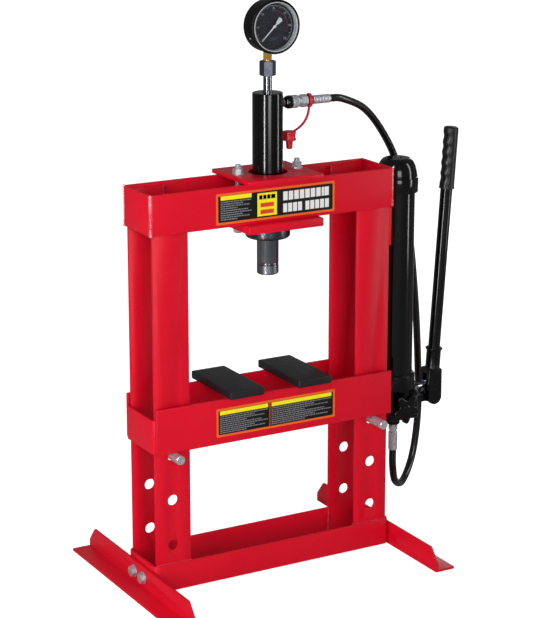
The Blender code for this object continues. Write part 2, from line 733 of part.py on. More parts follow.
def ram_rod():
    """The chrome rod and its piston, hollow for the return spring, its end cap held by a set screw."""
    cap_top = RAM_BOTTOM + RAM_CAP_HEIGHT
    bottom = cap_top + GAP
    piston_radius = BORE_RADIUS - GAP
    spigot = RAM_CAP_SPIGOT + GAP
    chamfer = 0.0012
    profile = [
        (ROD_BORE_RADIUS, PISTON_TOP),
        (piston_radius, PISTON_TOP),
        (piston_radius, PISTON_TOP - PISTON_HEIGHT),
        (RAM_RADIUS, PISTON_TOP - PISTON_HEIGHT),
        (RAM_RADIUS, bottom + chamfer),
        (RAM_RADIUS - chamfer, bottom),
        (spigot, bottom),
        (spigot, bottom + RAM_CAP_SPIGOT_LENGTH),
        (0, bottom + RAM_CAP_SPIGOT_LENGTH),
    ]
    profile += [(0, ROD_BORE_BOTTOM), (ROD_BORE_RADIUS, ROD_BORE_BOTTOM)]
    outer = turned("ram_rod", profile, (RAM_X, 0, 0), "chrome", sides=24, closed=True)
    at = (RAM_X + RAM_RADIUS - 0.0012, 0, SET_SCREW_Z)
    return cut(outer, hexagon("set_screw_socket", SET_SCREW_FLATS, 0.01, at, turn=TURN_X))


def ram_cap():
    """The replaceable end of the ram, held by its spigot."""
    top = RAM_BOTTOM + RAM_CAP_HEIGHT
    chamfer = 0.0012
    profile = [
        (0, top + RAM_CAP_SPIGOT_LENGTH - 0.001),
        (RAM_CAP_SPIGOT, top + RAM_CAP_SPIGOT_LENGTH - 0.001),
        (RAM_CAP_SPIGOT, top),
        (RAM_RADIUS - chamfer, top),
        (RAM_RADIUS, top - chamfer),
        (RAM_RADIUS, RAM_BOTTOM + chamfer),
        (RAM_RADIUS - chamfer, RAM_BOTTOM),
        (0, RAM_BOTTOM),
    ]
    return turned("ram_cap", profile, (RAM_X, 0, 0), "dark_steel", sides=24)


def return_spring():
    """The tension spring inside the ram, hooked under the cylinder's head."""
    top = CYLINDER_TOP - CYLINDER_HEAD - 0.002
    bottom = ROD_BORE_BOTTOM + 0.003
    per_turn = 6
    curve = bpy.data.curves.new("return_spring", "CURVE")
    curve.dimensions = "3D"
    curve.bevel_depth = SPRING_WIRE
    curve.bevel_resolution = 0
    curve.use_fill_caps = True
    spline = curve.splines.new("POLY")
    count = SPRING_TURNS * per_turn
    spline.points.add(count)
    for i, point in enumerate(spline.points):
        angle = 2 * math.pi * i / per_turn
        z = top + (bottom - top) * i / count
        point.co = (SPRING_RADIUS * math.cos(angle), SPRING_RADIUS * math.sin(angle), z, 1)
    return as_mesh(add(curve, "return_spring", (RAM_X, 0, 0), "dark_steel"))


# --- Gauge ---
def gauge_adapter():
    """The chrome pipe screwed into the cylinder's head."""
    bottom = CYLINDER_TOP - ADAPTER_THREAD_DEPTH
    profile = [
        (0.003, ADAPTER_TOP),
        (ADAPTER_RADIUS, ADAPTER_TOP),
        (ADAPTER_RADIUS, bottom),
        (0.003, bottom),
    ]
    return turned("gauge_adapter", profile, (RAM_X, 0, 0), "chrome", sides=24, closed=True)


def gauge_nut():
    """The hexagonal coupling nut between the pipe and the gauge's stem."""
    nut = hexagon("gauge_nut", GAUGE_NUT_FLATS, NUT_TOP_Z - NUT_BOTTOM_Z, (RAM_X, 0, NUT_BOTTOM_Z),
                  "dark_steel", edge=0.0008)
    pipe = rod("gauge_nut_pipe_bore", ADAPTER_RADIUS + GAP, ADAPTER_TOP - NUT_BOTTOM_Z + 0.01,
               (RAM_X, 0, NUT_BOTTOM_Z - 0.01 + GAP))
    cut(nut, pipe)
    return cut(nut, rod("gauge_nut_stem_bore", STEM_NECK_RADIUS + GAP, 0.04, (RAM_X, 0, NUT_BOTTOM_Z)))


def bourdon_tube():
    """The curved pressure tube inside the case."""
    curve = bpy.data.curves.new("bourdon_tube", "CURVE")
    curve.dimensions = "3D"
    curve.bevel_depth = BOURDON_TUBE
    curve.bevel_resolution = 1
    curve.use_fill_caps = True
    spline = curve.splines.new("POLY")
    steps = 18
    spline.points.add(steps)
    for i, point in enumerate(spline.points):
        angle = math.radians(-90 + 255 * i / steps)
        point.co = (BOURDON_RADIUS * math.cos(angle), 0, BOURDON_RADIUS * math.sin(angle), 1)
    return as_mesh(add(curve, "bourdon_tube", (RAM_X, -0.002, GAUGE_Z)))


def gauge_stem():
    """The brass stem: thread, hexagon, neck into the case, and the pressure tube soldered in it."""
    case_bottom = GAUGE_Z - GAUGE_BODY_RADIUS
    hex_bottom = NUT_TOP_Z + GAP
    hex_top = case_bottom - 0.0008
    low = ADAPTER_TOP + 2 * GAP
    top = GAUGE_Z - BOURDON_RADIUS + 0.004
    stem = hexagon("gauge_stem", STEM_FLATS, hex_top - hex_bottom, (RAM_X, 0, hex_bottom), "brass")
    join(stem, rod("gauge_stem_neck", STEM_NECK_RADIUS, top - low, (RAM_X, 0, low)))
    return join(stem, bourdon_tube())


def front_turned(name, profile, finish, sides=24, closed=False):
    """A piece turned about the gauge's axis: heights in the profile point to the front."""
    return turned(name, profile, (RAM_X, 0, GAUGE_Z), finish, TURN_FRONT, sides, closed)


def gauge_case():
    """The deep round case, open at the front, with the stem's hole below."""
    inner = GAUGE_BODY_RADIUS - GAUGE_WALL
    floor = -GAUGE_BACK + GAUGE_WALL
    seat = GAUGE_FRONT - DIAL_DEPTH - DIAL_THICKNESS - GAP
    lip = BEZEL_RADIUS + GAP
    profile = [
        (lip, GAUGE_FRONT - 0.0012),
        (lip + 0.002, GAUGE_FRONT),
        (GAUGE_RADIUS - 0.001, GAUGE_FRONT),
        (GAUGE_RADIUS, GAUGE_FRONT - 0.001),
        (GAUGE_RADIUS, GAUGE_FRONT - 0.007),
        (GAUGE_BODY_RADIUS, GAUGE_FRONT - 0.009),
        (GAUGE_BODY_RADIUS, -GAUGE_BACK + 0.009),
        (GAUGE_BODY_RADIUS - 0.003, -GAUGE_BACK + 0.003),
        (GAUGE_BODY_RADIUS - 0.009, -GAUGE_BACK),
        (0, -GAUGE_BACK),
        (0, floor),
        (inner - 0.006, floor),
        (inner, floor + 0.006),
        (inner, seat - 0.003),
        (lip - 0.003, seat),
        (lip, seat),
    ]
    case = front_turned("gauge_case", profile, "black_paint", closed=True)
    at = (RAM_X, 0, GAUGE_Z - GAUGE_RADIUS - 0.002)
    return cut(case, rod("gauge_case_hole", STEM_NECK_RADIUS + GAP, 0.02, at))


def gauge_dial():
    """The dial disc on its seat in the case, bored for the needle's arbor."""
    top = GAUGE_FRONT - DIAL_DEPTH
    back = top - DIAL_THICKNESS
    profile = [(0.0018, top), (BEZEL_RADIUS, top), (BEZEL_RADIUS, back), (0.0018, back)]
    return front_turned("gauge_dial", profile, "dial_blue", closed=True)


def gauge_glass():
    """The flat glass inside the rim."""
    top = GAUGE_FRONT - 0.0020
    edge = BEZEL_RADIUS
    profile = [(0, top), (edge, top), (edge, top - GLASS), (0, top - GLASS)]
    return front_turned("gauge_glass", profile, "glass")


def gauge_needle():
    """The needle on its arbor: a thin pointer and a spade tail, at zero."""
    lift = GAUGE_FRONT - 0.0062
    tip = 0.0005
    root = 0.0011
    neck = 0.0009
    spade = 0.0032
    points = [(NEEDLE_LENGTH, tip), (0.003, root)]
    points += [(-0.003, neck), (-NEEDLE_TAIL + 0.004, spade), (-NEEDLE_TAIL, spade * 0.6)]
    points = points + [(x, -y) for x, y in reversed(points)]
    cos, sin = math.cos(NEEDLE_ZERO), math.sin(NEEDLE_ZERO)
    points = [(x * cos - y * sin, x * sin + y * cos) for x, y in points]
    at = (RAM_X, -lift, GAUGE_Z)
    needle = outline("gauge_needle", points, 0.0006, at, "pale_grey", TURN_FRONT)
    hub_back = GAUGE_FRONT - DIAL_DEPTH - 0.004
    hub = rod("gauge_needle_arbor", 0.0012, lift - hub_back, (RAM_X, -hub_back, GAUGE_Z),
              turn=TURN_FRONT, sides=12)
    join(needle, hub)
    cover = rod("gauge_needle_hub", 0.0026, 0.0018, (RAM_X, -lift + 0.0006, GAUGE_Z),
                turn=TURN_FRONT, sides=16)
    return join(needle, cover)


# --- Coupler, dust cap and hose ends ---
def coupler_nipple():
    """The nipple screwed into the cylinder's side."""
    start = RAM_X + BORE_RADIUS + 0.001
    length = COUPLER_RING_X + 0.004 - start
    at = (start, 0, COUPLER_Z)
    nipple = rod("coupler_nipple", NIPPLE_RADIUS, length, at, "chrome", TURN_X, sides=16)
    collar_x = RAM_X + CYLINDER_RADIUS + GAP
    at = (collar_x, 0, COUPLER_Z)
    length = COUPLER_RING_X - GAP - collar_x
    return join(nipple, rod("nipple_collar", 0.0078, length, at, turn=TURN_X, sides=24))


def coupler_ring():
    """The black rubber end of the coupler, rounded towards the cylinder."""
    radius = COUPLER_RADIUS
    length = COUPLER_RING_LENGTH
    hole = NIPPLE_RADIUS + GAP
    profile = [(hole, length), (radius, length), (radius, 0.0065), (radius - 0.002, 0.0025),
               (radius - 0.0045, 0.0), (hole, 0.0)]
    at = (COUPLER_RING_X, 0, COUPLER_Z)
    return turned("coupler_ring", profile, at, "black_rubber", TURN_X, sides=24, closed=True)


def coupler_sleeve():
    """The knurled sleeve, which slides back along the coupler body."""
    hole = COUPLER_GROOVE_RADIUS + GAP
    length = COUPLER_SLEEVE_LENGTH
    radius = COUPLER_RADIUS
    profile = [(hole, length), (radius - 0.001, length), (radius, length - 0.001), (radius, 0.001),
               (radius - 0.001, 0), (hole, 0)]
    at = (SLEEVE_X, 0, COUPLER_Z)
    return turned("coupler_sleeve", profile, at, "zinc", TURN_X, sides=24, closed=True)


def coupler_body():
    """The coupler's core under the sleeve, its hexagon and the hose nut, in one piece."""
    start = SLEEVE_X
    length = HEX_X - start + 0.002
    core = rod("coupler_body", COUPLER_GROOVE_RADIUS, length, (start, 0, COUPLER_Z), "zinc", TURN_X)
    at = (HEX_X, 0, COUPLER_Z)
    join(core, hexagon("coupler_hex", COUPLER_FLATS, COUPLER_HEX_LENGTH, at, turn=TURN_X))
    at = (HOSE_NUT_X - 0.001, 0, COUPLER_Z)
    return join(core, rod("hose_nut", HOSE_NUT_RADIUS, HOSE_NUT_LENGTH + 0.001, at, turn=TURN_X))


def hose_ferrule_upper():
    """The crimped ferrule on the hose's upper end."""
    ring = 0.0006
    profile = [(0, FERRULE_LENGTH), (FERRULE_RADIUS - ring, FERRULE_LENGTH)]
    profile += [(FERRULE_RADIUS, FERRULE_LENGTH - 0.004), (FERRULE_RADIUS, 0.001)]
    profile += [(FERRULE_RADIUS - 0.001, 0), (0, 0)]
    at = (FERRULE_X, 0, COUPLER_Z)
    return turned("hose_ferrule_upper", profile, at, "zinc", TURN_X, sides=24)


def dust_cap():
    """The red dust cap, its strap and the strap's ring round the coupler, in one moulding."""
    neck_bottom = DUST_CAP_TOP - DUST_CAP_HEIGHT - DUST_CAP_NECK
    skirt = DUST_CAP_TOP - DUST_CAP_HEIGHT
    profile = [
        (0, DUST_CAP_TOP),
        (DUST_CAP_RADIUS, DUST_CAP_TOP),
        (DUST_CAP_RADIUS, skirt),
        (DUST_CAP_NECK_RADIUS, skirt),
        (DUST_CAP_NECK_RADIUS, neck_bottom),
        (0, neck_bottom),
    ]
    cap = turned("dust_cap", profile, (DUST_CAP_X, 0, 0), "red_plastic", sides=24)
    hole = HOSE_NUT_RADIUS + 0.0012
    half = STRAP_WIDTH / 2
    ring_profile = [(hole, half), (hole + STRAP_THICKNESS, half), (hole + STRAP_THICKNESS, -half),
                    (hole, -half)]
    ring_x = HOSE_NUT_X + HOSE_NUT_LENGTH / 2
    ring = turned("strap_ring", ring_profile, (ring_x, 0, COUPLER_Z), turn=TURN_X, sides=24, closed=True)
    join(cap, ring)
    start = (ring_x, COUPLER_Z - hole - STRAP_THICKNESS / 2)
    end = (DUST_CAP_X + DUST_CAP_RADIUS - 0.004, DUST_CAP_TOP - 0.001)
    bend = (ring_x - 0.002, COUPLER_Z - 0.040)
    centre = [quadratic(start, bend, end, i / 8) for i in range(9)]
    band = ribbon(centre, STRAP_THICKNESS)
    join(cap, outline("strap_band", band, STRAP_WIDTH, (0, 0, 0), turn=TURN_FRONT))
    return cap


def quadratic(a, b, c, t):
    """A point on a quadratic curve from a to c that leans towards b."""
    return tuple((1 - t) ** 2 * p + 2 * t * (1 - t) * q + t * t * r for p, q, r in zip(a, b, c))


def ribbon(centre, width):
    """The outline of a strip of one width along a centreline."""
    sides = ([], [])
    for i, (x, z) in enumerate(centre):
        before = centre[max(i - 1, 0)]
        after = centre[min(i + 1, len(centre) - 1)]
        along = Vector((after[0] - before[0], after[1] - before[1])).normalized()
        for side, points in zip((1, -1), sides):
            points.append((x - side * along.y * width / 2, z + side * along.x * width / 2))
    return sides[0] + sides[1][::-1]


def hose_ferrule_lower():
    """The fitting and crimped ferrule on the hose's lower end, screwed up into the pump's outlet."""
    top = OUTLET_BOTTOM - GAP
    profile = [
        (0, top),
        (LOWER_FERRULE_NECK, top),
        (LOWER_FERRULE_NECK, top - 0.003),
        (LOWER_FERRULE_RADIUS, top - 0.004),
        (LOWER_FERRULE_RADIUS, LOWER_FERRULE_BOTTOM + 0.003),
        (LOWER_FERRULE_RADIUS - 0.0008, LOWER_FERRULE_BOTTOM),
        (0, LOWER_FERRULE_BOTTOM),
    ]
    return turned("hose_ferrule_lower", profile, (PUMP_X, 0, 0), "zinc", sides=24)


def hose():
    """The hydraulic hose, a smooth curve through its route from ferrule to ferrule."""
    start = (FERRULE_END + GAP, 0, COUPLER_Z)
    end = (PUMP_X, 0, LOWER_FERRULE_BOTTOM - GAP)
    lead_in = (start[0] + HOSE_LEAD, 0, COUPLER_Z)
    lead_out = (PUMP_X, 0, end[2] - HOSE_LEAD)
    route = [Vector(p) for p in (lead_in, *HOSE_ROUTE, lead_out)]
    first = route[1] - Vector((2 * (route[1] - route[0]).length, 0, 0))
    last = route[-2] + Vector((0, 0, 2 * (route[-1] - route[-2]).length))
    points = [start, *smooth_points([first, *route, last], HOSE_STEP), end]
    curve = bpy.data.curves.new("hose", "CURVE")
    curve.dimensions = "3D"
    curve.bevel_depth = HOSE_RADIUS
    curve.bevel_resolution = 2
    curve.use_fill_caps = True
    spline = curve.splines.new("POLY")
    spline.points.add(len(points) - 1)
    for point, place in zip(spline.points, points):
        point.co = (*place, 1)
    return add(curve, "hose", finish="black_rubber")


def smooth_points(route, step):
    """Points about one step apart on a smooth curve through a route, its two end points left out."""
    points = [route[1]]
    for a, b, c, d in zip(route, route[1:], route[2:], route[3:]):
        count = max(1, round((c - b).length / step))
        leave = (c - a) / 2
        arrive = (d - b) / 2
        for i in range(1, count + 1):
            t = i / count
            points.append(
                b * (2 * t**3 - 3 * t**2 + 1)
                + leave * (t**3 - 2 * t**2 + t)
                + c * (3 * t**2 - 2 * t**3)
                + arrive * (t**3 - t**2)
            )
    return points


# --- Pump ---
def pump_reservoir():
    """The oil tube between the pump's body and its cap."""
    inner = RESERVOIR_RADIUS - RESERVOIR_WALL
    profile = [
        (inner, RESERVOIR_TOP),
        (RESERVOIR_RADIUS, RESERVOIR_TOP),
        (RESERVOIR_RADIUS, RESERVOIR_BOTTOM),
        (inner, RESERVOIR_BOTTOM),
    ]
    return turned("pump_reservoir", profile, (PUMP_X, 0, 0), "black_paint", sides=24, closed=True)


def pump_cap():
    """The domed cap over the reservoir, hollow, with the filler plug's socket on top."""
    dome_steps = 6
    dome = []
    for i in range(dome_steps + 1):
        angle = math.pi / 2 * i / dome_steps
        radius = PUMP_CAP_FLAT + (PUMP_CAP_RADIUS - 0.002 - PUMP_CAP_FLAT) * math.sin(angle)
        height = PUMP_CAP_SHOULDER + (PUMP_CAP_TOP - PUMP_CAP_SHOULDER) * math.cos(angle)
        dome.append((radius, height))
    seat = RESERVOIR_TOP + GAP
    socket = RESERVOIR_RADIUS + GAP
    inner = RESERVOIR_RADIUS - RESERVOIR_WALL
    roof = PUMP_CAP_TOP - 0.008
    profile = [(0, PUMP_CAP_TOP - 0.0015), (FILLER_RADIUS, PUMP_CAP_TOP - 0.0015)]
    profile += [(FILLER_RADIUS, PUMP_CAP_TOP)] + dome
    profile += [(PUMP_CAP_RADIUS, PUMP_CAP_SHOULDER - 0.001), (PUMP_CAP_RADIUS, PUMP_CAP_BOTTOM)]
    profile += [(socket, PUMP_CAP_BOTTOM), (socket, seat), (inner, seat)]
    profile += [(inner, PUMP_CAP_SHOULDER), (0.016, roof), (0, roof)]
    cap = turned("pump_cap", profile, (PUMP_X, 0, 0), "black_paint", sides=24)
    at = (PUMP_X, 0, PUMP_CAP_TOP - 0.005)
    return cut(cap, hexagon("filler_socket", FILLER_SOCKET, 0.01, at))


def pump_body():
    """The cast pump block: reservoir collar, plunger gland, lever lug, outlet and valve boss."""
    low = (PUMP_X - PUMP_BODY_LEFT, -PUMP_BODY_HALF_Y, PUMP_BODY_BOTTOM)
    high = (PUMP_X + PUMP_BODY_RIGHT, PUMP_BODY_HALF_Y, PUMP_BODY_TOP)
    body = box("pump_body", low, high, "black_paint", edge=0.003)
    collar_radius = PUMP_CAP_RADIUS - 0.0005
    collar_base = PUMP_BODY_TOP - 0.012
    collar = rod("pump_collar", collar_radius, PUMP_COLLAR_TOP - collar_base, (PUMP_X, 0, collar_base),
                 sides=24, edge=0.004)
    join(body, collar)
    outlet = rod("pump_outlet", OUTLET_RADIUS, PUMP_BODY_BOTTOM + 0.005 - OUTLET_BOTTOM,
                 (PUMP_X, 0, OUTLET_BOTTOM), edge=0.0015)
    join(body, outlet)
    gland_start = PUMP_X + PUMP_BODY_RIGHT - 0.004
    gland = rod("pump_gland", GLAND_RADIUS, GLAND_END - gland_start, (gland_start, 0, PLUNGER_Z),
                turn=TURN_X)
    join(body, gland)
    lug_points = [(gland_start, PIVOT_Z + LUG_RADIUS)]
    lug_points += arc(PIVOT_X, PIVOT_Z, LUG_RADIUS, 90, -90, 8)
    lug_points += [(gland_start, PIVOT_Z - LUG_RADIUS)]
    join(body, outline("pump_lug", lug_points, 2 * LUG_HALF_Y, (0, 0, 0), turn=TURN_FRONT))
    valve = rod("valve_boss", 0.0115, 0.010, (VALVE_X, -PUMP_BODY_HALF_Y + 0.004, VALVE_Z),
                turn=TURN_FRONT)
    join(body, valve)
    socket_length = PUMP_COLLAR_TOP - RESERVOIR_BOTTOM + GAP + 0.01
    at = (PUMP_X, 0, RESERVOIR_BOTTOM - GAP)
    cut(body, rod("reservoir_socket", RESERVOIR_RADIUS + GAP, socket_length, at, sides=24))
    at = (PLUNGER_INNER - 0.006, 0, PLUNGER_Z)
    cut(body, rod("plunger_bore", PLUNGER_RADIUS + GAP, 0.08, at, turn=TURN_X))
    at = (PIVOT_X, 0.02, PIVOT_Z)
    cut(body, rod("lug_bore", PIVOT_PIN_RADIUS + GAP, 0.04, at, turn=TURN_FRONT))
    at = (VALVE_X, -PUMP_BODY_HALF_Y + 0.014, VALVE_Z)
    cut(body, rod("valve_bore", VALVE_STEM_RADIUS + GAP, 0.03, at, turn=TURN_FRONT, sides=16))
    return body


def pump_plunger():
    """The chrome plunger; its flat tongue has an upright slot for the lever's pin."""
    at = (PLUNGER_INNER, 0, PLUNGER_Z)
    plunger = rod("pump_plunger", PLUNGER_RADIUS, PLUNGER_SHOULDER + 0.003 - PLUNGER_INNER, at,
                  "chrome", TURN_X)
    slot_low = PLUNGER_Z - TONGUE_SLOT_BOTTOM
    slot_high = PLUNGER_Z + TONGUE_SLOT_TOP
    low = (PLUNGER_SHOULDER, -TONGUE_HALF_Y, slot_low - TONGUE_EDGE)
    high = (PIVOT_X + TONGUE_TIP, TONGUE_HALF_Y, slot_high + TONGUE_EDGE)
    join(plunger, box("plunger_tongue", low, high))
    low = (PIVOT_X - TONGUE_SLOT, -0.02, slot_low)
    high = (PIVOT_X + TONGUE_SLOT, 0.02, slot_high)
    return cut(plunger, box("plunger_slot", low, high))


def lever_casting():
    """The lever's casting: two cheeks over the lug and plunger, and the socket for the handle."""
    left = PIVOT_X - LEVER_HALF_X
    right = PIVOT_X + LEVER_HALF_X
    points = arc(PIVOT_X, PIVOT_Z, LEVER_HALF_X, 180, 360, 12)
    points += [(right, LEVER_TOP - 0.003), (right - 0.003, LEVER_TOP)]
    points += [(left + 0.003, LEVER_TOP), (left, LEVER_TOP - 0.003)]
    casting = outline("lever_casting", points, 2 * LEVER_HALF_Y, (0, 0, 0), "black_paint", TURN_FRONT)
    bevel(casting, 0.002, segments=1, angle=60.0)
    tilt = (0, HANDLE_TILT, 0)
    join(casting, rod("lever_socket", SOCKET_RADIUS, SOCKET_TOP + 0.03, handle_point(-0.03), turn=tilt))
    at = handle_point(SOCKET_TOP - 0.004)
    join(casting, rod("lever_socket_lip", SOCKET_LIP_RADIUS, 0.004, at, turn=tilt, edge=0.001))
    at = handle_point(SOCKET_BORE_BOTTOM)
    cut(casting, rod("lever_socket_bore", HANDLE_RADIUS + GAP, 0.06, at, turn=tilt))
    low = (left - 0.01, -LEVER_SLOT_HALF_Y, PIVOT_Z - 0.03)
    high = (right + 0.01, LEVER_SLOT_HALF_Y, PLUNGER_Z + LEVER_SLOT_TOP)
    cut(casting, box("lever_slot", low, high))
    for name, z in (("lever_pivot_hole", PIVOT_Z), ("lever_plunger_hole", PLUNGER_Z)):
        at = (PIVOT_X, 0.03, z)
        cut(casting, rod(name, PIVOT_PIN_RADIUS + GAP, 0.06, at, turn=TURN_FRONT, sides=20))
    return casting


def handle_point(distance, radius=0.0):
    """A point on the handle's axis, so far above its reference point, and beside it by a radius."""
    sin, cos = math.sin(HANDLE_TILT), math.cos(HANDLE_TILT)
    x = HANDLE_AXIS_X + distance * sin + radius * cos
    return (x, 0, HANDLE_AXIS_Z + distance * cos - radius * sin)


def lever_pin(name, z):
    """A pin across the lever's cheeks."""
    length = 2 * LEVER_HALF_Y + 0.002
    at = (PIVOT_X, length / 2, z)
    return rod(name, PIVOT_PIN_RADIUS, length, at, "zinc", TURN_FRONT, sides=20, edge=0.0006)


def handle_tube():
    """The lever's tube, in the casting's socket and up through the grip."""
    bottom = SOCKET_BORE_BOTTOM + GAP
    length = HANDLE_TOP - 0.004 - bottom
    tilt = (0, HANDLE_TILT, 0)
    wall = 0.0025
    profile = [
        (HANDLE_RADIUS - wall, length),
        (HANDLE_RADIUS, length),
        (HANDLE_RADIUS, 0),
        (HANDLE_RADIUS - wall, 0),
    ]
    return turned("handle_tube", profile, handle_point(bottom), "black_paint", tilt, closed=True)


def handle_grip():
    """The rubber grip with finger grooves, closed at its top end."""
    length = HANDLE_TOP - GRIP_START
    inner = HANDLE_RADIUS + GAP
    roof = length - 0.004 + GAP
    steps = 4 * GRIP_WAVES
    span = length - 2 * GRIP_END_ROUND
    profile = [(0, length), (GRIP_RADIUS - GRIP_END_ROUND, length)]
    for i in range(steps + 1):
        height = span * (1 - i / steps) + GRIP_END_ROUND
        wave = GRIP_WAVE_DEPTH * math.cos(2 * math.pi * GRIP_WAVES * i / steps)
        profile.append((GRIP_RADIUS - GRIP_WAVE_DEPTH + wave, height))
    profile += [(GRIP_RADIUS - 0.0010, 0), (inner, 0), (inner, roof), (0, roof)]
    tilt = (0, HANDLE_TILT, 0)
    return turned("handle_grip", profile, handle_point(GRIP_START), "black_rubber", tilt, sides=16)


def release_knob():
    """The star knob of the release valve, with the valve's stem."""
    points = []
    steps = 8 * KNOB_LOBES
    middle = (KNOB_RADIUS + KNOB_WAIST) / 2
    swing = (KNOB_RADIUS - KNOB_WAIST) / 2
    for i in range(steps):
        angle = 2 * math.pi * i / steps
        radius = middle + swing * math.cos(KNOB_LOBES * angle)
        turned_angle = angle - math.pi / 2
        points.append((radius * math.cos(turned_angle), radius * math.sin(turned_angle)))
    at = (VALVE_X, -KNOB_Y, VALVE_Z)
    knob = outline("release_knob", points, KNOB_THICKNESS, at, "black_paint", TURN_FRONT)
    bevel(knob, 0.002, segments=1, angle=60.0)
    stem_start = -PUMP_BODY_HALF_Y + 0.010
    length = KNOB_Y - KNOB_THICKNESS / 2 + 0.004 + stem_start
    at = (VALVE_X, stem_start, VALVE_Z)
    return join(knob, rod("valve_stem", VALVE_STEM_RADIUS, length, at, turn=TURN_FRONT, sides=16))


def pump_bracket():
    """The plate across the right uprights that carries the pump, with its saddle and two bolts."""
    inner = UPRIGHT_OUT_X + GAP
    outer = inner + PLATE
    half_y = UPRIGHT_OUT_Y
    plate = box("pump_bracket", (inner, -half_y, BRACKET_BOTTOM), (outer, half_y, BRACKET_TOP), "red_paint")
    low = (outer - 0.001, -SADDLE_HALF_Y, BRACKET_BOTTOM + 0.008)
    high = (outer + SADDLE_REACH, SADDLE_HALF_Y, BRACKET_TOP - 0.008)
    join(plate, box("pump_saddle", low, high))
    for i, z in enumerate((BRACKET_BOTTOM + 0.020, BRACKET_TOP - 0.020)):
        at = (inner - 0.006, 0, z)
        join(plate, hexagon(f"bracket_bolt_{i}", 0.013, 0.007, at, turn=TURN_X))
    at = (PUMP_X, 0, BRACKET_BOTTOM - 0.01)
    height = BRACKET_TOP - BRACKET_BOTTOM + 0.02
    return cut(plate, rod("saddle_bore", RESERVOIR_RADIUS + GAP, height, at, sides=24))


def build():
    """Build the whole press."""
    clear_scene()
    parts = collection("hydraulic_shop_press")
    frame = bpy.data.objects.new("press_frame", None)
    frame.location = (PRESS_X, 0, 0)
    parts.objects.link(frame)
    bpy.context.view_layer.update()

    for side in (-1, 1):
        for depth in (-1, 1):
            upright(side, depth)
        beam_end(side)
        base_end(side)
        foot(side)
        foot_bolts(side)
        support_pin(side)
        bed_end(side)
        arbor_plate(side)
        clamp_stud(side)
    for depth in (-1, 1):
        beam_plate(depth)
        base_plate(depth)
        bed_plate(depth)

    ram_plate("ram_plate_top", TOP_PLATE_Z, TOP_PLATE, TOP_HOLE_RADIUS)
    ram_plate("ram_plate_bottom", BOTTOM_PLATE_Z, BOTTOM_PLATE, CYLINDER_RADIUS + GAP)
    cylinder_body()
    lock_ring()
    ram_rod()
    ram_cap()
    return_spring()

    gauge_adapter()
    gauge_nut()
    gauge_stem()
    gauge_case()
    gauge_dial()
    gauge_glass()
    gauge_needle()

    coupler_nipple()
    coupler_ring()
    coupler_sleeve()
    coupler_body()
    hose_ferrule_upper()
    dust_cap()
    hose_ferrule_lower()
    hose()

    pump_reservoir()
    pump_cap()
    pump_body()
    pump_plunger()
    lever_casting()
    lever_pin("lever_pivot_pin", PIVOT_Z)
    lever_pin("plunger_pin", PLUNGER_Z)
    handle_tube()
    handle_grip()
    release_knob()
    pump_bracket()


build()
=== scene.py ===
"""Looks of a bench hydraulic shop press: enamelled frame, plated fittings, gauge, hand pump and hose."""

import json
import logging
import math
from dataclasses import dataclass
from enum import Enum
from typing import Any, Iterable, Optional, Sequence

import bmesh
import bpy
from mathutils import Matrix, Vector

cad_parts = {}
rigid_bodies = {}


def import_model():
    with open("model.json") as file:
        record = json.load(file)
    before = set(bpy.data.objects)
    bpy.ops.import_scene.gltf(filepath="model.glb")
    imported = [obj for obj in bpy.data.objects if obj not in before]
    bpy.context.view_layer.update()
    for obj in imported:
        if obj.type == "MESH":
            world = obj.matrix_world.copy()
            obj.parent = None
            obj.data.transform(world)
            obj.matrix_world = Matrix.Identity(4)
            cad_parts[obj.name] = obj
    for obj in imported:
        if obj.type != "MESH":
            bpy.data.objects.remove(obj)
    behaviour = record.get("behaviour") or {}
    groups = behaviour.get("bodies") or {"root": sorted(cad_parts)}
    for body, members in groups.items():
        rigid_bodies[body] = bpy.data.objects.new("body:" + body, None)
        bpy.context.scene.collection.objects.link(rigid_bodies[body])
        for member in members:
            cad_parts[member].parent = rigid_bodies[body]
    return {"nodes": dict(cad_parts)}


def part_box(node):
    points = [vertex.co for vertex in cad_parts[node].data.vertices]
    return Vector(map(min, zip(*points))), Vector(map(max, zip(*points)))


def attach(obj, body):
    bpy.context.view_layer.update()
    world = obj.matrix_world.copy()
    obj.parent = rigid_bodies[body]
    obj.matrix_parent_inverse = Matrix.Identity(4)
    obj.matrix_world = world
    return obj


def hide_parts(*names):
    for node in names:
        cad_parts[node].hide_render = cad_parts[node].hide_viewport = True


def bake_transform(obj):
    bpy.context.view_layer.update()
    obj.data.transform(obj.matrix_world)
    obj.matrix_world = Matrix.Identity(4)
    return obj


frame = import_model()
log = logging.getLogger("shop_press")

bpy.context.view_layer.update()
LOW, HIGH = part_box("base_front")
MIDDLE_X = (LOW.x + HIGH.x) / 2
Point2 = tuple[float, float]


class Facing(Enum):
    """The way a turned or flat piece's own +Z axis points, as its turn in radians."""

    UP = (0.0, 0.0, 0.0)
    RIGHT = (0.0, math.pi / 2, 0.0)
    LEFT = (0.0, -math.pi / 2, 0.0)
    FRONT = (math.pi / 2, 0.0, 0.0)


# --- Colours and shader nodes ---
def linear(hex_colour: str) -> tuple[float, float, float, float]:
    """Turn an sRGB hex colour into linear light.

    Args:
        hex_colour: Six hex digits, such as "c81020".

    Returns:
        Red, green, blue and alpha from 0 to 1.
    """
    shares = (int(hex_colour[i:i + 2], 16) / 255 for i in (0, 2, 4))
    return (*(s / 12.92 if s <= 0.04045 else ((s + 0.055) / 1.055) ** 2.4 for s in shares), 1.0)


